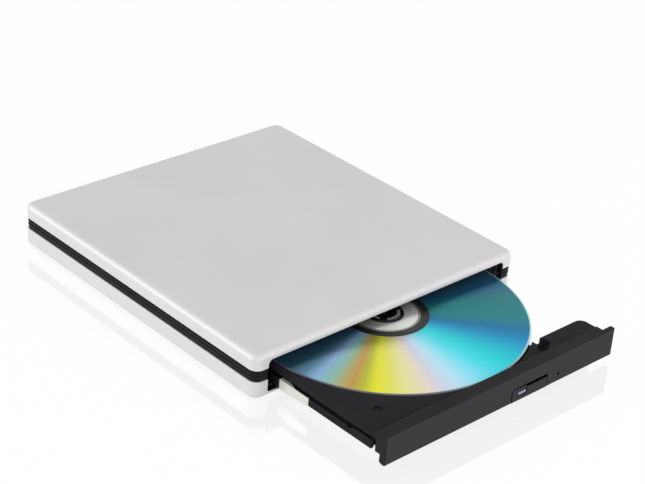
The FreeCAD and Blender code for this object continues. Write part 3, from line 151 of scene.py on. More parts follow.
def table_top():
    """The table's top, a hair below the drive's feet."""
    sheet = bpy.data.meshes.new("table")
    corners = [(x * table_half, y * table_half, -table_gap) for x, y in ((-1, -1), (1, -1), (1, 1), (-1, 1))]
    sheet.from_pydata(corners, [], [(0, 1, 2, 3)])
    sheet.materials.append(table_finish())
    table = bpy.data.objects.new("table", sheet)
    scene.collection.objects.link(table)


table_top()
white_surround()
soft_lamp("left_lamp", (-0.92, 0.62, 0.2), width=1.0, power=8.4, mirrored=True)
soft_lamp("right_lamp", (0.66, -0.84, 0.33), width=1.0, power=6.8, mirrored=False)
soft_lamp("front_lamp", (-0.4, -0.95, 0.42), width=0.9, power=4.6, mirrored=False)

# The camera
# It looks down at the drive's left front corner, from three quarters of a metre, with a long lens, and is
# held a little askew.

camera_place = (-0.45233, -0.46509, 0.38137)
camera_azimuth = math.radians(-44.356)
camera_elevation = math.radians(28.684)
camera_roll = math.radians(4.497)
camera_lens = 99.21


def camera_turn():
    """The way that the camera points, from its azimuth, elevation and roll."""
    sine = math.sin(camera_azimuth)
    cosine = math.cos(camera_azimuth)
    level = math.cos(camera_elevation)
    back = Vector((sine * level, -cosine * level, math.sin(camera_elevation)))
    right = Vector((cosine, sine, 0))
    upright = Matrix((right, back.cross(right), back)).transposed()
    return upright @ Matrix.Rotation(camera_roll, 3, "Z")


viewpoint = bpy.data.objects.new("viewpoint", bpy.data.cameras.new("viewpoint"))
viewpoint.data.lens = camera_lens
viewpoint.matrix_world = Matrix.Translation(camera_place) @ camera_turn().to_4x4()
scene.collection.objects.link(viewpoint)
scene.camera = viewpoint

# The case halves
# Two shells moulded in black ABS and painted outside with a satin pearl silver, so their edges are soft and
# an even fine fleck shows close up. Four screws from below hold them together. Their inner faces and the
# walls of the front mouth are coloured near black: bare plastic, and painted shade of the closed case.

case_edges = {"top_cover": 0.18, "lower_cover": 0.1}
case_hollow = ((0, 31.45, 10.1), (70.95, 75.95, 8.25))
case_mouth = ((0, -42.0, 9.4), (65.9, 3.7, 7.3))
bare_plastic_and_shade = (22, 22, 23)
noise_middle = (0.3, 0.7)
join_within = 0.001 * mm
flat_within = math.radians(0.4)
sharp_from = math.radians(38)
rounding_steps = 2


def new_finish(name, **values):
    """A material with its node tree and its main shader, whose own values are set by name."""
    material = bpy.data.materials.new(name)
    material.use_nodes = True
    shader = material.node_tree.nodes["Principled BSDF"]
    for socket, value in values.items():
        shader.inputs[socket.replace("_", " ")].default_value = value
    return material, material.node_tree, shader


def wire(tree, output, shader, name):
    """Leads an output to one of the shader's inputs."""
    tree.links.new(output, shader.inputs[name])


def object_place(tree):
    """Where a point lies on its piece, in metres."""
    return add(tree, "ShaderNodeTexCoord").outputs["Object"]


def noise(tree, size, detail=2.0, stretch=(1, 1, 1)):
    """Noise whose blotches are this many millimetres wide, longer along the axes that are stretched."""
    scale = [1 / (size * mm * share) for share in stretch]
    scaled = add(tree, "ShaderNodeMapping", {"Vector": object_place(tree), "Scale": scale})
    inputs = {"Vector": scaled.outputs[0], "Scale": 1.0, "Detail": detail}
    return add(tree, "ShaderNodeTexNoise", inputs).outputs["Fac"]


def between(tree, share, low, high):
    """A value that runs from low to high over the middle of a noise."""
    start, end = noise_middle
    return add(tree, "ShaderNodeMapRange", {0: share, 1: start, 2: end, 3: low, 4: high}).outputs[0]


def tinted(tree, share, first, second):
    """A colour that goes from the first to the second as the share goes from 0 to 1."""
    return add(tree, "ShaderNodeMix", {0: share, 6: first, 7: second}, data_type="RGBA").outputs[2]


def coloured(tree, shader, share, first, second):
    """Colours a finish from the first to the second, both in screen values."""
    wire(tree, tinted(tree, share, shown(*first), shown(*second)), shader, "Base Color")


def roughened(tree, shader, share, first, second):
    """Gives a finish a roughness that runs from the first to the second over the middle of a noise."""
    wire(tree, between(tree, share, first, second), shader, "Roughness")


def relief(tree, shader, height, depth):
    """A surface texture this many millimetres deep."""
    bump = add(tree, "ShaderNodeBump", {"Height": height, "Distance": depth * mm, "Strength": 1.0})
    wire(tree, bump.outputs[0], shader, "Normal")


def pearl_paint():
    """Satin silver paint with a fine pearl fleck, a little cloudy over a few centimetres."""
    material, tree, shader = new_finish("pearl_silver_paint", Metallic=0.25)
    fleck = noise(tree, size=0.12, detail=3.0)
    cloud = noise(tree, size=35.0, detail=1.0)
    base = tinted(tree, between(tree, cloud, 0, 1), shown(209, 206, 207), shown(213, 210, 211))
    paint = tinted(tree, between(tree, fleck, 0, 0.35), base, shown(222, 221, 223))
    wire(tree, paint, shader, "Base Color")
    roughened(tree, shader, fleck, 0.46, 0.56)
    relief(tree, shader, noise(tree, size=0.5), depth=0.002)
    return material


def vector_maths(tree, operation, *values):
    """What an operation on one or two vectors gives, or a vector's length."""
    outputs = add(tree, "ShaderNodeVectorMath", dict(enumerate(values)), operation=operation).outputs
    return outputs["Value" if operation == "LENGTH" else "Vector"]


def within(tree, middle, half):
    """1 inside a box, given in millimetres by its middle and half its size, and 0 outside it."""
    middle, half = ([value * mm for value in values] for values in (middle, half))
    away = vector_maths(tree, "ABSOLUTE", vector_maths(tree, "SUBTRACT", object_place(tree), middle))
    apart = add(tree, "ShaderNodeSeparateXYZ", {0: vector_maths(tree, "DIVIDE", away, half)}).outputs
    furthest = maths(tree, "MAXIMUM", maths(tree, "MAXIMUM", apart[0], apart[1]), apart[2])
    return maths(tree, "LESS_THAN", furthest, 1.0)


def repaint(material, share, colour):
    """Gives a finish another colour where the share is 1."""
    tree = material.node_tree
    shader = tree.nodes["Principled BSDF"]
    before = shader.inputs["Base Color"].links[0].from_socket
    wire(tree, tinted(tree, share, before, shown(*colour)), shader, "Base Color")


def patch(material, middle, half, colour):
    """Gives the part of a finish that lies in a box another colour."""
    repaint(material, within(material.node_tree, middle, half), colour)


def joined_faces():
    """Joins each face of an imported piece to its neighbours, so that its edges can be rounded."""
    group = bpy.data.node_groups.new("joined_faces", "GeometryNodeTree")
    for way in ("INPUT", "OUTPUT"):
        group.interface.new_socket("Piece", in_out=way, socket_type="NodeSocketGeometry")
    piece = group.nodes.new("NodeGroupInput").outputs[0]
    merged = add(group, "GeometryNodeMergeByDistance", {"Geometry": piece, "Distance": join_within})
    smooth = add(group, "GeometryNodeSetShadeSmooth", {"Geometry": merged.outputs[0], "Shade Smooth": True})
    add(group, "NodeGroupOutput", {0: smooth.outputs[0]})
    return group


face_joiner = joined_faces()


def soften(piece, edge):
    """Rounds a piece's sharp edges by a radius in millimetres."""
    piece.modifiers.new("joined_faces", "NODES").node_group = face_joiner
    flat = piece.modifiers.new("flat_faces", "DECIMATE")
    flat.decimate_type = "DISSOLVE"
    flat.angle_limit = flat_within
    rounding = piece.modifiers.new("rounded_edges", "BEVEL")
    rounding.width = edge * mm
    rounding.segments = rounding_steps
    rounding.limit_method = "ANGLE"
    rounding.angle_limit = sharp_from
    rounding.use_clamp_overlap = False
    piece.modifiers.new("even_shading", "WEIGHTED_NORMAL").keep_sharp = True


def dress(names, material, edge=None):
    """Gives pieces their finish, and rounds their edges where a radius in millimetres is given."""
    for name in names:
        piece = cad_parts[name]
        piece.data.materials[0] = material
        if edge:
            soften(piece, edge)


case_finish = pearl_paint()
# Near black inside the case and round its mouth: bare plastic and painted shade.
patch(case_finish, *case_hollow, bare_plastic_and_shade)
patch(case_finish, *case_mouth, bare_plastic_and_shade)
for case_half, case_edge in case_edges.items():
    dress((case_half,), case_finish, case_edge)

# The band
# A black ABS ring that lines the joint between the halves. Two rounded ribs run along it, and a thin tongue
# on each of its edges reaches into the halves.

mould_cloud = 14.0
mould_smoother = 0.05
mould_rougher = 0.07


def moulded(name, dark, light, rough, grain, depth, shine=0.2):
    """Moulded plastic: two close shades, an uneven gloss and the fine grain of its mould."""
    material, tree, shader = new_finish(name, Specular_IOR_Level=shine)
    texture = noise(tree, grain, detail=3.0)
    coloured(tree, shader, between(tree, noise(tree, mould_cloud, detail=3.0), 0, 1), dark, light)
    roughened(tree, shader, texture, rough - mould_smoother, rough + mould_rougher)
    relief(tree, shader, texture, depth)
    return material


band_finish = moulded(
    "black_band", (29, 28, 31), (36, 35, 38), rough=0.36, grain=0.3, depth=0.004, shine=0.05)
dress(("mid_frame",), band_finish)

# The feet and the case screws
# Four moulded rubber discs sit in shallow seats under the case, each beside a zinc-plated screw. The other
# screws in the drive have the same plating.

foot_finish = moulded("grey_rubber", (62, 62, 64), (72, 72, 74), rough=0.75, grain=0.5, depth=0.02)
dress(("rubber_feet",), foot_finish)
metal_smoother = 0.06
metal_rougher = 0.08
metal_streak_depth = 0.001


def plated_steel(name, dark, light, rough, streak, stretch=(1, 1, 1), metal=1.0):
    """Bright metal, with fine streaks along one axis where that is stretched."""
    material, tree, shader = new_finish(name, Metallic=metal)
    streaks = noise(tree, streak, detail=3.0, stretch=stretch)
    coloured(tree, shader, between(tree, streaks, 0, 1), dark, light)
    roughened(tree, shader, streaks, rough - metal_smoother, rough + metal_rougher)
    relief(tree, shader, streaks, metal_streak_depth)
    return material


screw_finish = plated_steel("zinc_plate", (176, 177, 180), (196, 197, 200), rough=0.34, streak=0.6)
dress(("case_screws", "board_screws", "tray_screws", "damper_screws"), screw_finish)

# The drive's housing
# A pan and a lid pressed from 0.6 and 0.5 mm galvanised steel sheet. The pan steps up to a shelf at the
# right, and a small turned post in its front corner catches the tray's latch.

sheet_finish = plated_steel("galvanised_sheet", (160, 161, 163), (186, 187, 189), rough=0.38, streak=7.0)
dress(("drive_pan", "drive_lid"), sheet_finish)
dress(("latch_post",), screw_finish)

# The rails
# At each side a grey plastic guide is fixed to the pan, and a rolled steel channel slides in it, half as far
# as the tray does. It is bright in front; behind that it is painted near black, a painted shadow of the
# case's corner. The tray's own runners slide in the channels.

rolling_stretch = (1, 40, 1)
painted_shadow_stretch = ((0, 10.9, 6.4), (70, 60, 4))
painted_shadow_steel = (22, 20, 20)

guide_finish = moulded("guide_plastic", (46, 46, 48), (54, 54, 56), rough=0.35, grain=0.4, depth=0.003)
dress(("rail_guide_left", "rail_guide_right"), guide_finish, edge=0.1)
rail_finish = plated_steel(
    "rolled_rail", (206, 203, 194), (228, 225, 217), rough=0.4, streak=0.35, stretch=rolling_stretch,
    metal=0.3)
# The channel's rear is painted near black: a painted shadow.
patch(rail_finish, *painted_shadow_stretch, painted_shadow_steel)
dress(("slide_rail_left", "slide_rail_right"), rail_finish, edge=0.06)

# The tray
# One moulding in black ABS: a deck with the disc's recess, a raised rim strip at the left and the wing at
# the right front. Two runners of the same plastic slide in the rails, and a thin steel cover with four
# screws closes it below.

tray_finish = moulded(
    "tray_plastic", (29, 28, 32), (35, 34, 38), rough=0.42, grain=0.28, depth=0.008, shine=0.04)
dress(("tray",), tray_finish, edge=0.1)
dress(("tray_runner_left", "tray_runner_right"), tray_finish, edge=0.15)
cover_finish = plated_steel("cover_sheet", (150, 151, 154), (172, 173, 176), rough=0.36, streak=5.0)
dress(("tray_bottom_cover",), cover_finish)

# The bezel and the eject button
# A black moulded front with a fine satin grain, clipped to the tray. Its button takes in the lower edge,
# presses a switch through a stem, and is pierced by a clear pipe that carries the lamp's light. Its front
# faces are painted lighter than its top, as painted light, and its pinhole and finger slot are painted near
# black, as painted shade.

painted_front_light = (48, 47, 49)
joint_shade = (8, 8, 12)
# Painted shade: the pinhole coloured near black.
pinhole_painted_shade = ((31.0, -107.6, 6.6), (0.72, 1.4, 0.72), (5, 5, 6))
# Painted light: the front faces coloured lighter than the top.
bezel_painted_light = ((0, -109.0, 9.4), (65, 0.1, 6.2), painted_front_light)
button_painted_light = ((0, -109.0, 6.0), (65, 0.1, 5), painted_front_light)
button_left_joint = ((4.0, -108.95, 6.0), (0.35, 1, 3.2), joint_shade)
button_top_joint = ((8.0, -108.95, 9.0), (5, 1, 0.3), joint_shade)
window_frame = ((10.1, -108.95, 6.3), (2.7, 0.3, 1.25), (12, 15, 25))
# Painted shade: the finger slot coloured near black.
finger_slot_painted_shade = ((18.3, -107.5, 8.8), (6.3, 1.5, 1.0), (6, 6, 7))
button_places = (button_painted_light, button_left_joint, button_top_joint, window_frame, finger_slot_painted_shade)


def front_plastic(name, places):
    """The front's satin plastic, with another colour in each of some boxes: painted light on the front faces,
    painted shade in the pinhole and finger slot, and its own dark joints and navy window frame.
    """
    material = moulded(name, (36, 35, 38), (41, 40, 43), rough=0.4, grain=0.22, depth=0.006, shine=0.04)
    for middle, half, colour in places:
        patch(material, middle, half, colour)
    return material


bezel_finish = front_plastic("bezel_plastic", (pinhole_painted_shade, bezel_painted_light))
dress(("bezel",), bezel_finish, edge=0.15)
dress(("eject_button",), front_plastic("button_plastic", button_places))


def milky_pipe():
    """Clear acrylic with a faint haze."""
    material, tree, shader = new_finish("milky_light_pipe", Transmission_Weight=0.25)
    haze = noise(tree, size=0.8)
    coloured(tree, shader, haze, (136, 142, 148), (160, 166, 172))
    roughened(tree, shader, haze, 0.2, 0.3)
    return material


dress(("light_pipe",), milky_pipe(), edge=0.08)

# The lip under the bezel's ledge
# A thin lip of the same moulding that hangs from the ledge. It closes the joint above the tray's front wall,
# and its lower edges are rounded.

lip_across = (-62.3, 31.9)
lip_outline = (
    (-103.35, 13.22), (-103.35, 12.1), (-103.3, 11.97), (-103.2, 11.9), (-102.6, 11.9), (-102.47, 11.97),
    (-102.42, 12.1), (-102.42, 13.22))


def mesh_piece(name, form):
    """Makes a shaded piece of the faces built so far."""
    bmesh.ops.recalc_face_normals(form, faces=form.faces)
    mesh = bpy.data.meshes.new(name)
    form.to_mesh(mesh)
    form.free()
    mesh.shade_smooth()
    mesh.set_sharp_from_angle(angle=sharp_from)
    piece = bpy.data.objects.new(name, mesh)
    scene.collection.objects.link(piece)
    return piece


def closed_rows(form, rows):
    """Faces between each row of corners and the next, and one over each end."""
    for near, far in zip(rows, rows[1:]):
        for corner in range(len(near)):
            after = (corner + 1) % len(near)
            form.faces.new((near[corner], near[after], far[after], far[corner]))
    form.faces.new(rows[0])
    form.faces.new(rows[-1])


def lip_under_ledge(name):
    """The lip, an outline in Y and Z drawn out along X."""
    form = bmesh.new()
    ends = [[form.verts.new((x * mm, y * mm, z * mm)) for y, z in lip_outline] for x in lip_across]
    closed_rows(form, ends)
    return mesh_piece(name, form)


lip = lip_under_ledge("bezel_lip")
lip.data.materials.append(bezel_finish)
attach(lip, "tray")

# The button's spring
# A small coil of steel wire behind the button, which pushes it out again. Its first and last turns lie close,
# so that the ends sit flat.

spring_middle = (20.0, 6.3)
spring_span = (-105.38, -102.72)
spring_radius = 1.4
spring_wire_radius = 0.15
spring_closed_turns = 0.75
spring_open_turns = 3
spring_turn_steps = 32
spring_sides = 10


def wire_ring(form, centre, outward):
    """The corners of one section of the spring's wire."""
    corners = []
    for side in range(spring_sides):
        angle = math.tau * side / spring_sides
        reach = outward * math.cos(angle) + Vector((0, math.sin(angle), 0))
        corners.append(form.verts.new((centre + reach * spring_wire_radius) * mm))
    return corners


def wound_spring(name):
    """A coil along Y. Its open turns share the length that its closed ones leave."""
    wire_width = 2 * spring_wire_radius
    turns = spring_open_turns + 2 * spring_closed_turns
    open_rise = spring_span[1] - spring_span[0] - 2 * spring_closed_turns * wire_width
    form = bmesh.new()
    rings = []
    for step in range(round(turns * spring_turn_steps) + 1):
        turn = step / spring_turn_steps
        open_turn = min(max(turn - spring_closed_turns, 0), spring_open_turns)
        along = spring_span[0] + (turn - open_turn) * wire_width + open_turn / spring_open_turns * open_rise
        outward = Vector((math.cos(math.tau * turn), 0, -math.sin(math.tau * turn)))
        centre = Vector((spring_middle[0], along, spring_middle[1])) + outward * spring_radius
        rings.append(wire_ring(form, centre, outward))
    closed_rows(form, rings)
    return mesh_piece(name, form)


spring = wound_spring("wound_button_spring")
spring_finish = plated_steel("spring_wire", (170, 170, 172), (190, 190, 192), rough=0.28, streak=0.3)
spring.data.materials.append(spring_finish)
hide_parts("button_spring")
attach(spring, "tray")
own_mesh(spring)

# The boards
# Glass epoxy under green solder mask, with copper tracks that show through it, and black chips and plugs on
# top.

track_fields = 220.0
track_lines = 260.0
track_edge = (0.45, 0.55)


def rise(tree, value, start, end):
    """0 up to the start, 1 from the end on, and straight between them."""
    return add(tree, "ShaderNodeMapRange", {0: value, 1: start, 2: end}).outputs[0]


def solder_mask():
    """Fields of parallel tracks, that run along X in some and along Y in the others."""
    material, tree, shader = new_finish("green_board")
    place = object_place(tree)
    field = add(tree, "ShaderNodeTexVoronoi", {"Vector": place, "Scale": track_fields}, distance="MANHATTAN")
    turned_field = maths(tree, "GREATER_THAN", field.outputs["Color"], 0.5)
    lines = {"Vector": place, "Scale": track_lines}
    ways = [add(tree, "ShaderNodeTexWave", lines, bands_direction=way).outputs["Fac"] for way in "XY"]
    track = add(tree, "ShaderNodeMix", {0: turned_field, 2: ways[0], 3: ways[1]})
    copper = rise(tree, track.outputs[0], *track_edge)
    coloured(tree, shader, copper, (18, 74, 48), (34, 108, 70))
    roughened(tree, shader, noise(tree, size=0.6), 0.22, 0.34)
    relief(tree, shader, copper, depth=0.02)
    return material


chip_finish = moulded("chip_resin", (26, 26, 28), (33, 33, 35), rough=0.5, grain=0.15, depth=0.004)
dress(("drive_board", "switch_board", "tray_board", "bridge_board"), solder_mask())
dress(("drive_chips", "bridge_chips", "drive_plug", "bridge_plug"), chip_finish, edge=0.08)
dress(("ribbon_socket", "eject_switch"), chip_finish, edge=0.08)

# The chips' legs
# Rows of bent tinned legs along the sides of each chip, soldered flat to its board.

leg_outline = (
    (-0.1, 0.56), (0.28, 0.56), (0.4, 0.5), (0.46, 0.1), (0.82, 0.1), (0.82, 0.0), (0.38, 0.0), (0.31, 0.42),
    (0.25, 0.46), (-0.1, 0.46))
leg_half = 0.14
leg_pitch = 0.8
leg_margin = 0.8
drive_board_top = 4.7
bridge_board_top = 5.2
end_sides = (0, 180)
long_sides = (90, 270)
four_sides = (0, 90, 180, 270)
legged_chips = (
    ((-37.0, 68.95, drive_board_top), 14.0, 14.0, four_sides),
    ((-17.5, 65.45, drive_board_top), 9.0, 9.0, four_sides),
    ((-1.5, 68.45, drive_board_top), 7.0, 5.0, long_sides),
    ((11.0, 72.95, drive_board_top), 6.0, 6.0, four_sides),
    ((11.5, 100.45, bridge_board_top), 7.0, 7.0, four_sides),
    ((-9.5, 100.95, bridge_board_top), 5.0, 5.0, four_sides),
    ((-22.0, 101.45, bridge_board_top), 4.0, 5.0, end_sides))


def bent_leg(form, middle, turn, reach, along):
    """One leg, out from a chip's side and down to the board."""
    sections = []
    for side in (-leg_half, leg_half):
        spots = [turn @ Vector((reach / 2 + out, along + side, up)) for out, up in leg_outline]
        sections.append([form.verts.new((spot + middle) * mm) for spot in spots])
    closed_rows(form, sections)


def chip_legs(name):
    """The legs of each chip that has them, side by side."""
    form = bmesh.new()
    for middle, width, length, sides in legged_chips:
        for angle in sides:
            turn = Matrix.Rotation(math.radians(angle), 3, "Z")
            reach, run = (width, length) if angle in end_sides else (length, width)
            count = int((run - leg_margin) / leg_pitch)
            for number in range(count + 1):
                bent_leg(form, Vector(middle), turn, reach, (number - count / 2) * leg_pitch)
    return mesh_piece(name, form)


legs = chip_legs("chip_legs")
legs.data.materials.append(screw_finish)
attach(legs, "case")

# The cans, the data socket and the lamp
# Aluminium cans and a folded steel socket stand on the board at the back, and a lamp of green resin on the
# switch board.

can_finish = plated_steel("can_sleeve", (170, 172, 176), (196, 198, 202), rough=0.3, streak=0.5)
dress(("bridge_capacitors",), can_finish, edge=0.2)
socket_finish = plated_steel("socket_shell", (178, 178, 180), (202, 202, 204), rough=0.26, streak=0.8)
dress(("usb_socket",), socket_finish, edge=0.06)


def lamp_resin():
    """Cloudy green resin, partly clear."""
    material, tree, shader = new_finish("green_lamp", Transmission_Weight=0.3, Roughness=0.2)
    coloured(tree, shader, noise(tree, size=0.7), (120, 190, 120), (160, 220, 150))
    return material


dress(("busy_lamp",), lamp_resin(), edge=0.08)

# The latch
# A white acetal lever turns on a pin in the wing and hooks behind the pan's post. A solenoid wound with
# copper wire pulls it off.

lever_finish = moulded("white_acetal", (206, 204, 198), (218, 216, 210), rough=0.4, grain=0.4, depth=0.003)
dress(("latch_lever",), lever_finish, edge=0.12)
copper_turns = 900.0


def wound_copper():
    """Varnished copper wire, turn beside turn."""
    material, tree, shader = new_finish("wound_copper", Metallic=0.9)
    lines = {"Vector": object_place(tree), "Scale": copper_turns}
    turns = add(tree, "ShaderNodeTexWave", lines, bands_direction="X").outputs["Fac"]
    coloured(tree, shader, turns, (122, 58, 30), (206, 122, 72))
    roughened(tree, shader, turns, 0.4, 0.25)
    relief(tree, shader, turns, depth=0.05)
    return material


dress(("solenoid",), wound_copper(), edge=0.15)

# The traverse
# A pressed steel frame hangs on four rubber bushes and carries two ground rods, the lead screw and its
# motor, and the pickup. A grey moulded cover closes it above, but for the slot over the lens.

dress(("traverse_frame",), sheet_finish)
unit_finish = moulded("cover_plastic", (58, 58, 61), (66, 66, 69), rough=0.42, grain=0.3, depth=0.006)
dress(("traverse_cover",), unit_finish, edge=0.1)
bush_finish = moulded("black_rubber", (22, 22, 23), (30, 30, 31), rough=0.8, grain=0.4, depth=0.02)
dress(("damper_bushes",), bush_finish, edge=0.1)
rod_finish = plated_steel("ground_rod", (196, 198, 202), (214, 216, 220), rough=0.16, streak=0.4)
dress(("guide_rods", "lead_screw"), rod_finish)
dress(("rod_holders",), guide_finish)
motor_finish = plated_steel("motor_can", (164, 165, 168), (188, 189, 192), rough=0.3, streak=1.2)
dress(("sled_motor", "spindle_motor"), motor_finish, edge=0.06)
dress(("rotor",), motor_finish, edge=0.12)

# The pickup
# A die-cast sled with a thin plate, two magnets and a plastic holder that carries the glass lens. It rides
# on the rods under the disc.

cast_finish = plated_steel("cast_zinc", (108, 109, 112), (134, 135, 138), rough=0.45, streak=0.9)
dress(("pickup_body", "pickup_plate", "focus_magnets"), cast_finish, edge=0.1)
dress(("lens_holder",), chip_finish, edge=0.1)
lens_values = {"Transmission_Weight": 0.6, "Roughness": 0.03, "Coat_Weight": 1.0}


def coated_glass():
    """Glass with a violet coating."""
    material, tree, shader = new_finish("coated_lens", **lens_values)
    coloured(tree, shader, noise(tree, size=2.0), (70, 74, 120), (96, 84, 140))
    return material


dress(("lens",), coated_glass())

# The hub
# The spindle motor's turntable carries a rubber grip ring and a black moulded hub, with a stepped dish in its
# top and a ring round that, painted grey as a painted highlight. Three sprung catches snap over the disc's
# inner edge.

spindle_place = (0.0, -41.05)
hub_profile = (
    (0.0, 12.2), (0.9, 12.2), (1.0, 12.05), (1.9, 12.05), (2.0, 12.25), (2.9, 12.25), (3.0, 12.45),
    (4.0, 12.45), (4.1, 12.65), (5.1, 12.65), (5.3, 12.85), (5.5, 12.9), (6.5, 12.9), (6.7, 12.84),
    (6.8, 12.7), (7.0, 12.7), (7.1, 12.72), (7.3, 12.5), (7.4, 12.2), (7.4, 10.95), (7.3, 10.9), (0.0, 10.9))
hub_facets = 96
painted_highlight_ring = (5.35, 6.65)
painted_highlight_grey = (118, 118, 120)


def turned(name, profile, facets, place):
    """A turned piece: a profile of radius and height in millimetres, swept round a vertical axis."""
    form = bmesh.new()
    rings = []
    for radius, height in profile:
        across = radius * mm
        angles = [math.tau * step / facets for step in range(facets if radius else 1)]
        spots = [(across * math.cos(angle), across * math.sin(angle), height * mm) for angle in angles]
        rings.append([form.verts.new(spot) for spot in spots])
    has_hole = profile[0][0] and profile[-1][0]
    if has_hole:
        rings.append(rings[0])
    for near, far in zip(rings, rings[1:]):
        for step in range(facets):
            places = ((near, step), (near, step + 1), (far, step + 1), (far, step))
            form.faces.new(dict.fromkeys(ring[number % len(ring)] for ring, number in places))
    piece = mesh_piece(name, form)
    piece.location = (place[0] * mm, place[1] * mm, 0)
    return piece


def from_axis(tree):
    """How far a point lies from its piece's upright axis, in metres."""
    return vector_maths(tree, "LENGTH", vector_maths(tree, "MULTIPLY", object_place(tree), (1, 1, 0)))


def ringed(material, inner, outer, colour):
    """Gives the part of a turned piece's finish that lies between two radii another colour."""
    tree = material.node_tree
    away = maths(tree, "ABSOLUTE", maths(tree, "SUBTRACT", from_axis(tree), (inner + outer) / 2 * mm))
    repaint(material, maths(tree, "LESS_THAN", away, (outer - inner) / 2 * mm), colour)


def hub_plastic(name):
    """The hub's polished black plastic."""
    return moulded(name, (14, 14, 15), (20, 20, 21), rough=0.2, grain=0.3, depth=0.002, shine=0.35)


catch_finish = hub_plastic("hub_plastic")
dish_finish = hub_plastic("dish_plastic")
# Painted highlight: a grey ring on the hub's black.
ringed(dish_finish, *painted_highlight_ring, painted_highlight_grey)
hub = turned("stepped_hub", hub_profile, hub_facets, spindle_place)
hub.data.materials.append(dish_finish)
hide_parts("hub")
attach(hub, "spindle")
dress(("hub_catches",), catch_finish, edge=0.15)
grip_finish = moulded("grip_rubber", (26, 26, 27), (34, 34, 35), rough=0.8, grain=0.3, depth=0.01)
dress(("grip_ring",), grip_finish)

# The disc
# Polycarbonate moulded over an aluminium layer. The fan of colours that the data area splits from the light
# is painted on by angle round the hub, a painted reflection that turns with the disc. Inside it lie a mirror
# band painted dark, as a painted reflection, and a pale clamping ring with a painted sheen that changes
# round it, between fine moulded lines. The rim carries a painted glint.

disc_profile = (
    (7.5, 12.3), (7.6, 12.4), (14.1, 12.4), (14.15, 12.37), (14.35, 12.37), (14.4, 12.4), (15.05, 12.4),
    (15.1, 12.37), (15.3, 12.37), (15.35, 12.4), (18.6, 12.4), (18.65, 12.38), (18.8, 12.38), (18.85, 12.4),
    (59.2, 12.4), (59.3, 12.38), (59.6, 12.38), (59.85, 12.32), (60.0, 12.15), (60.0, 11.45),
    (59.85, 11.28), (59.5, 11.2), (17.4, 11.2), (17.3, 11.05), (17.1, 11.0), (16.9, 11.0), (16.7, 11.05),
    (16.6, 11.2), (7.6, 11.2), (7.5, 11.3))
disc_facets = 240
disc_radius = 60.0
full_turn = 360
# Painted reflection: the colours split from the light, by angle round the hub; the angles under the case's
# edge are lifted against its shade.
painted_rainbow = (
    (0, (48, 82, 104)), (40, (92, 100, 74)), (62, (112, 132, 140)), (90, (58, 128, 138)),
    (115, (44, 106, 130)), (145, (44, 86, 112)), (170, (50, 76, 106)), (182, (50, 78, 108)),
    (189, (46, 86, 102)), (194, (82, 124, 150)), (199, (136, 174, 212)), (205, (140, 188, 172)),
    (210, (176, 170, 110)), (214, (196, 152, 82)), (218, (182, 190, 62)), (223, (230, 228, 52)),
    (228, (228, 226, 92)), (236, (230, 228, 160)), (243, (232, 220, 198)), (248, (214, 214, 228)),
    (256, (190, 230, 246)), (266, (130, 228, 246)), (275, (72, 222, 236)), (283, (44, 214, 220)),
    (292, (38, 186, 210)), (302, (34, 144, 194)), (310, (34, 120, 162)), (320, (40, 130, 136)),
    (338, (40, 122, 126)), (349, (38, 92, 128)))
# Painted glint on the disc's rim, by angle.
painted_rim_glint = (
    (0, (150, 190, 200)), (150, (96, 100, 112)), (200, (92, 94, 106)), (240, (116, 116, 120)),
    (275, (130, 150, 156)), (300, (176, 216, 222)), (340, (190, 228, 232)))
# Painted sheen on the clamping ring, brighter at some angles.
clamping_ring_sheen = (
    (0, 150), (45, 196), (90, 206), (150, 150), (190, 150), (225, 196), (265, 226), (300, 222), (335, 186))
clamping_warmth = 3
# Shades by radius; the dark band from 15.1 to 18.5 mm is a painted reflection of the mirror band.
ring_shades = (
    (0, 0.03), (8.2, 0.03), (8.4, 0.9), (9, 0.95), (13.6, 1), (14.1, 1), (14.2, 0.14), (14.35, 0.14),
    (14.45, 0.62), (14.9, 0.55), (15.1, 0.08), (15.3, 0.06), (15.45, 0.13), (16.2, 0.11), (16.4, 0.06),
    (18.5, 0.05))
data_from = 18.7
data_to = 59.2
data_edge = 0.15
brushed_lines = 260.0
brushed_shades = (0.82, 1.06)


def stops(ramp, colours, whole):
    """Puts a ramp's colours at their places, given as parts of the whole."""
    for index, (place, colour) in enumerate(colours):
        stop = ramp.elements[index] if index < 2 else ramp.elements.new(1.0)
        stop.position = place / whole
        stop.color = colour


def round_ramp(tree, around, colours):
    """Colours at angles in degrees round the axis, which meet again after the full turn."""
    ramp = add(tree, "ShaderNodeValToRGB", {0: around})
    closed = [*colours, (full_turn, colours[0][1])]
    stops(ramp.color_ramp, [(angle, shown(*colour)) for angle, colour in closed], full_turn)
    return ramp.outputs[0]


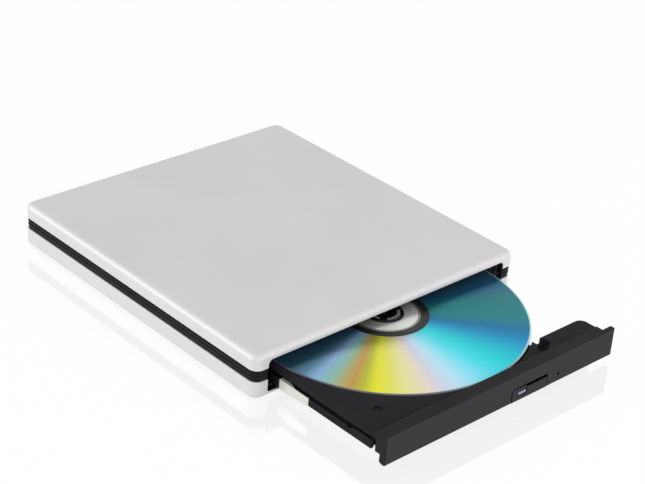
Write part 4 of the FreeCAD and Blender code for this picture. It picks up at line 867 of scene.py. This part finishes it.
def disc_finish():
    """The painted fan of split light over the data area, the painted sheen of the clamping ring, the rings
    inside it and the painted glint at the rim.
    """
    material, tree, shader = new_finish("data_disc", Metallic=0.5, Specular_IOR_Level=0.06)
    behind = vector_maths(tree, "MULTIPLY", object_place(tree), (-1, -1, 0))
    around = add(tree, "ShaderNodeTexGradient", {"Vector": behind}, gradient_type="RADIAL").outputs["Fac"]
    radius = maths(tree, "MULTIPLY", from_axis(tree), 1 / (disc_radius * mm))
    ring = [(angle, (level, level, level - clamping_warmth)) for angle, level in clamping_ring_sheen]
    shade = add(tree, "ShaderNodeValToRGB", {0: radius})
    stops(shade.color_ramp, [(place, (level, level, level, 1)) for place, level in ring_shades], disc_radius)
    streaks = {"W": around, "Scale": brushed_lines, "Detail": 3.0}
    streak = add(tree, "ShaderNodeTexNoise", streaks, noise_dimensions="1D").outputs["Fac"]
    brushed = maths(tree, "MULTIPLY", between(tree, streak, *brushed_shades), shade.outputs[0])
    inner = vector_maths(tree, "MULTIPLY", round_ramp(tree, around, ring), brushed)
    in_data, in_rim = (
        rise(tree, radius, start / disc_radius, (start + data_edge) / disc_radius)
        for start in (data_from, data_to))
    body = tinted(tree, in_data, inner, round_ramp(tree, around, painted_rainbow))
    wire(tree, tinted(tree, in_rim, body, round_ramp(tree, around, painted_rim_glint)), shader, "Base Color")
    roughened(tree, shader, noise(tree, size=6.0), 0.16, 0.24)
    return material


disc = turned("data_disc", disc_profile, disc_facets, spindle_place)
disc.data.materials.append(disc_finish())
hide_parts("disc")
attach(disc, "spindle")

# The ribbon cable
# A flat cable of parallel tinned conductors between two white films, folded once under the tray. On the drive
# its upper run moves with the tray and its fold half as far; here the short strip at its socket goes with the
# case, and the folded strip is left where it is built.

ribbon_across = (9.5, 23.5)
ribbon_sheet = 0.12
ribbon_bend = 0.17
ribbon_bend_steps = 5
ribbon_wires = 320.0
wire_edge = (0.4, 0.6)
socket_path = ((53.09, 5.6), (52.15, 5.6), (52.15, 3.15), (51.6, 3.15))
folded_path = ((51.6, 3.15), (-47.375, 3.15), (-47.375, 3.5), (-13.15, 3.5), (-13.15, 7.1), (-13.39, 7.1))


def flat_cable():
    """White film, ridged over its conductors."""
    material, tree, shader = new_finish("ribbon_film")
    lines = {"Vector": object_place(tree), "Scale": ribbon_wires}
    wires = add(tree, "ShaderNodeTexWave", lines, bands_direction="X").outputs["Fac"]
    ridge = rise(tree, wires, *wire_edge)
    coloured(tree, shader, ridge, (208, 208, 206), (232, 232, 230))
    roughened(tree, shader, wires, 0.3, 0.42)
    relief(tree, shader, ridge, depth=0.03)
    return material


def rounded(path):
    """A path of Y and Z with its corners rounded."""
    points = [Vector(point) for point in path]
    smooth = [points[0]]
    for before, corner, after in zip(points, points[1:], points[2:]):
        start, end = (corner + (other - corner).normalized() * ribbon_bend for other in (before, after))
        for step in range(ribbon_bend_steps + 1):
            share = step / ribbon_bend_steps
            smooth.append(start.lerp(corner, share).lerp(corner.lerp(end, share), share))
    return smooth + [points[-1]]


def ribbon_strip(name, path):
    """A flat strip of the cable along a path of Y and Z in millimetres."""
    points = rounded(path)
    form = bmesh.new()
    rows = []
    for number, point in enumerate(points):
        along = (points[min(number + 1, len(points) - 1)] - points[max(number - 1, 0)]).normalized()
        side = Vector((-along.y, along.x)) * ribbon_sheet / 2
        corners = [(x, point + side) for x in ribbon_across]
        corners += [(x, point - side) for x in reversed(ribbon_across)]
        rows.append([form.verts.new((x * mm, place.x * mm, place.y * mm)) for x, place in corners])
    closed_rows(form, rows)
    return mesh_piece(name, form)


cable_finish = flat_cable()
socket_end = ribbon_strip("ribbon_socket_end", socket_path)
fold = ribbon_strip("ribbon_fold", folded_path)
for strip in (socket_end, fold):
    strip.data.materials.append(cable_finish)
    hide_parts("ribbon_cable")
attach(socket_end, "case")
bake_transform(fold)
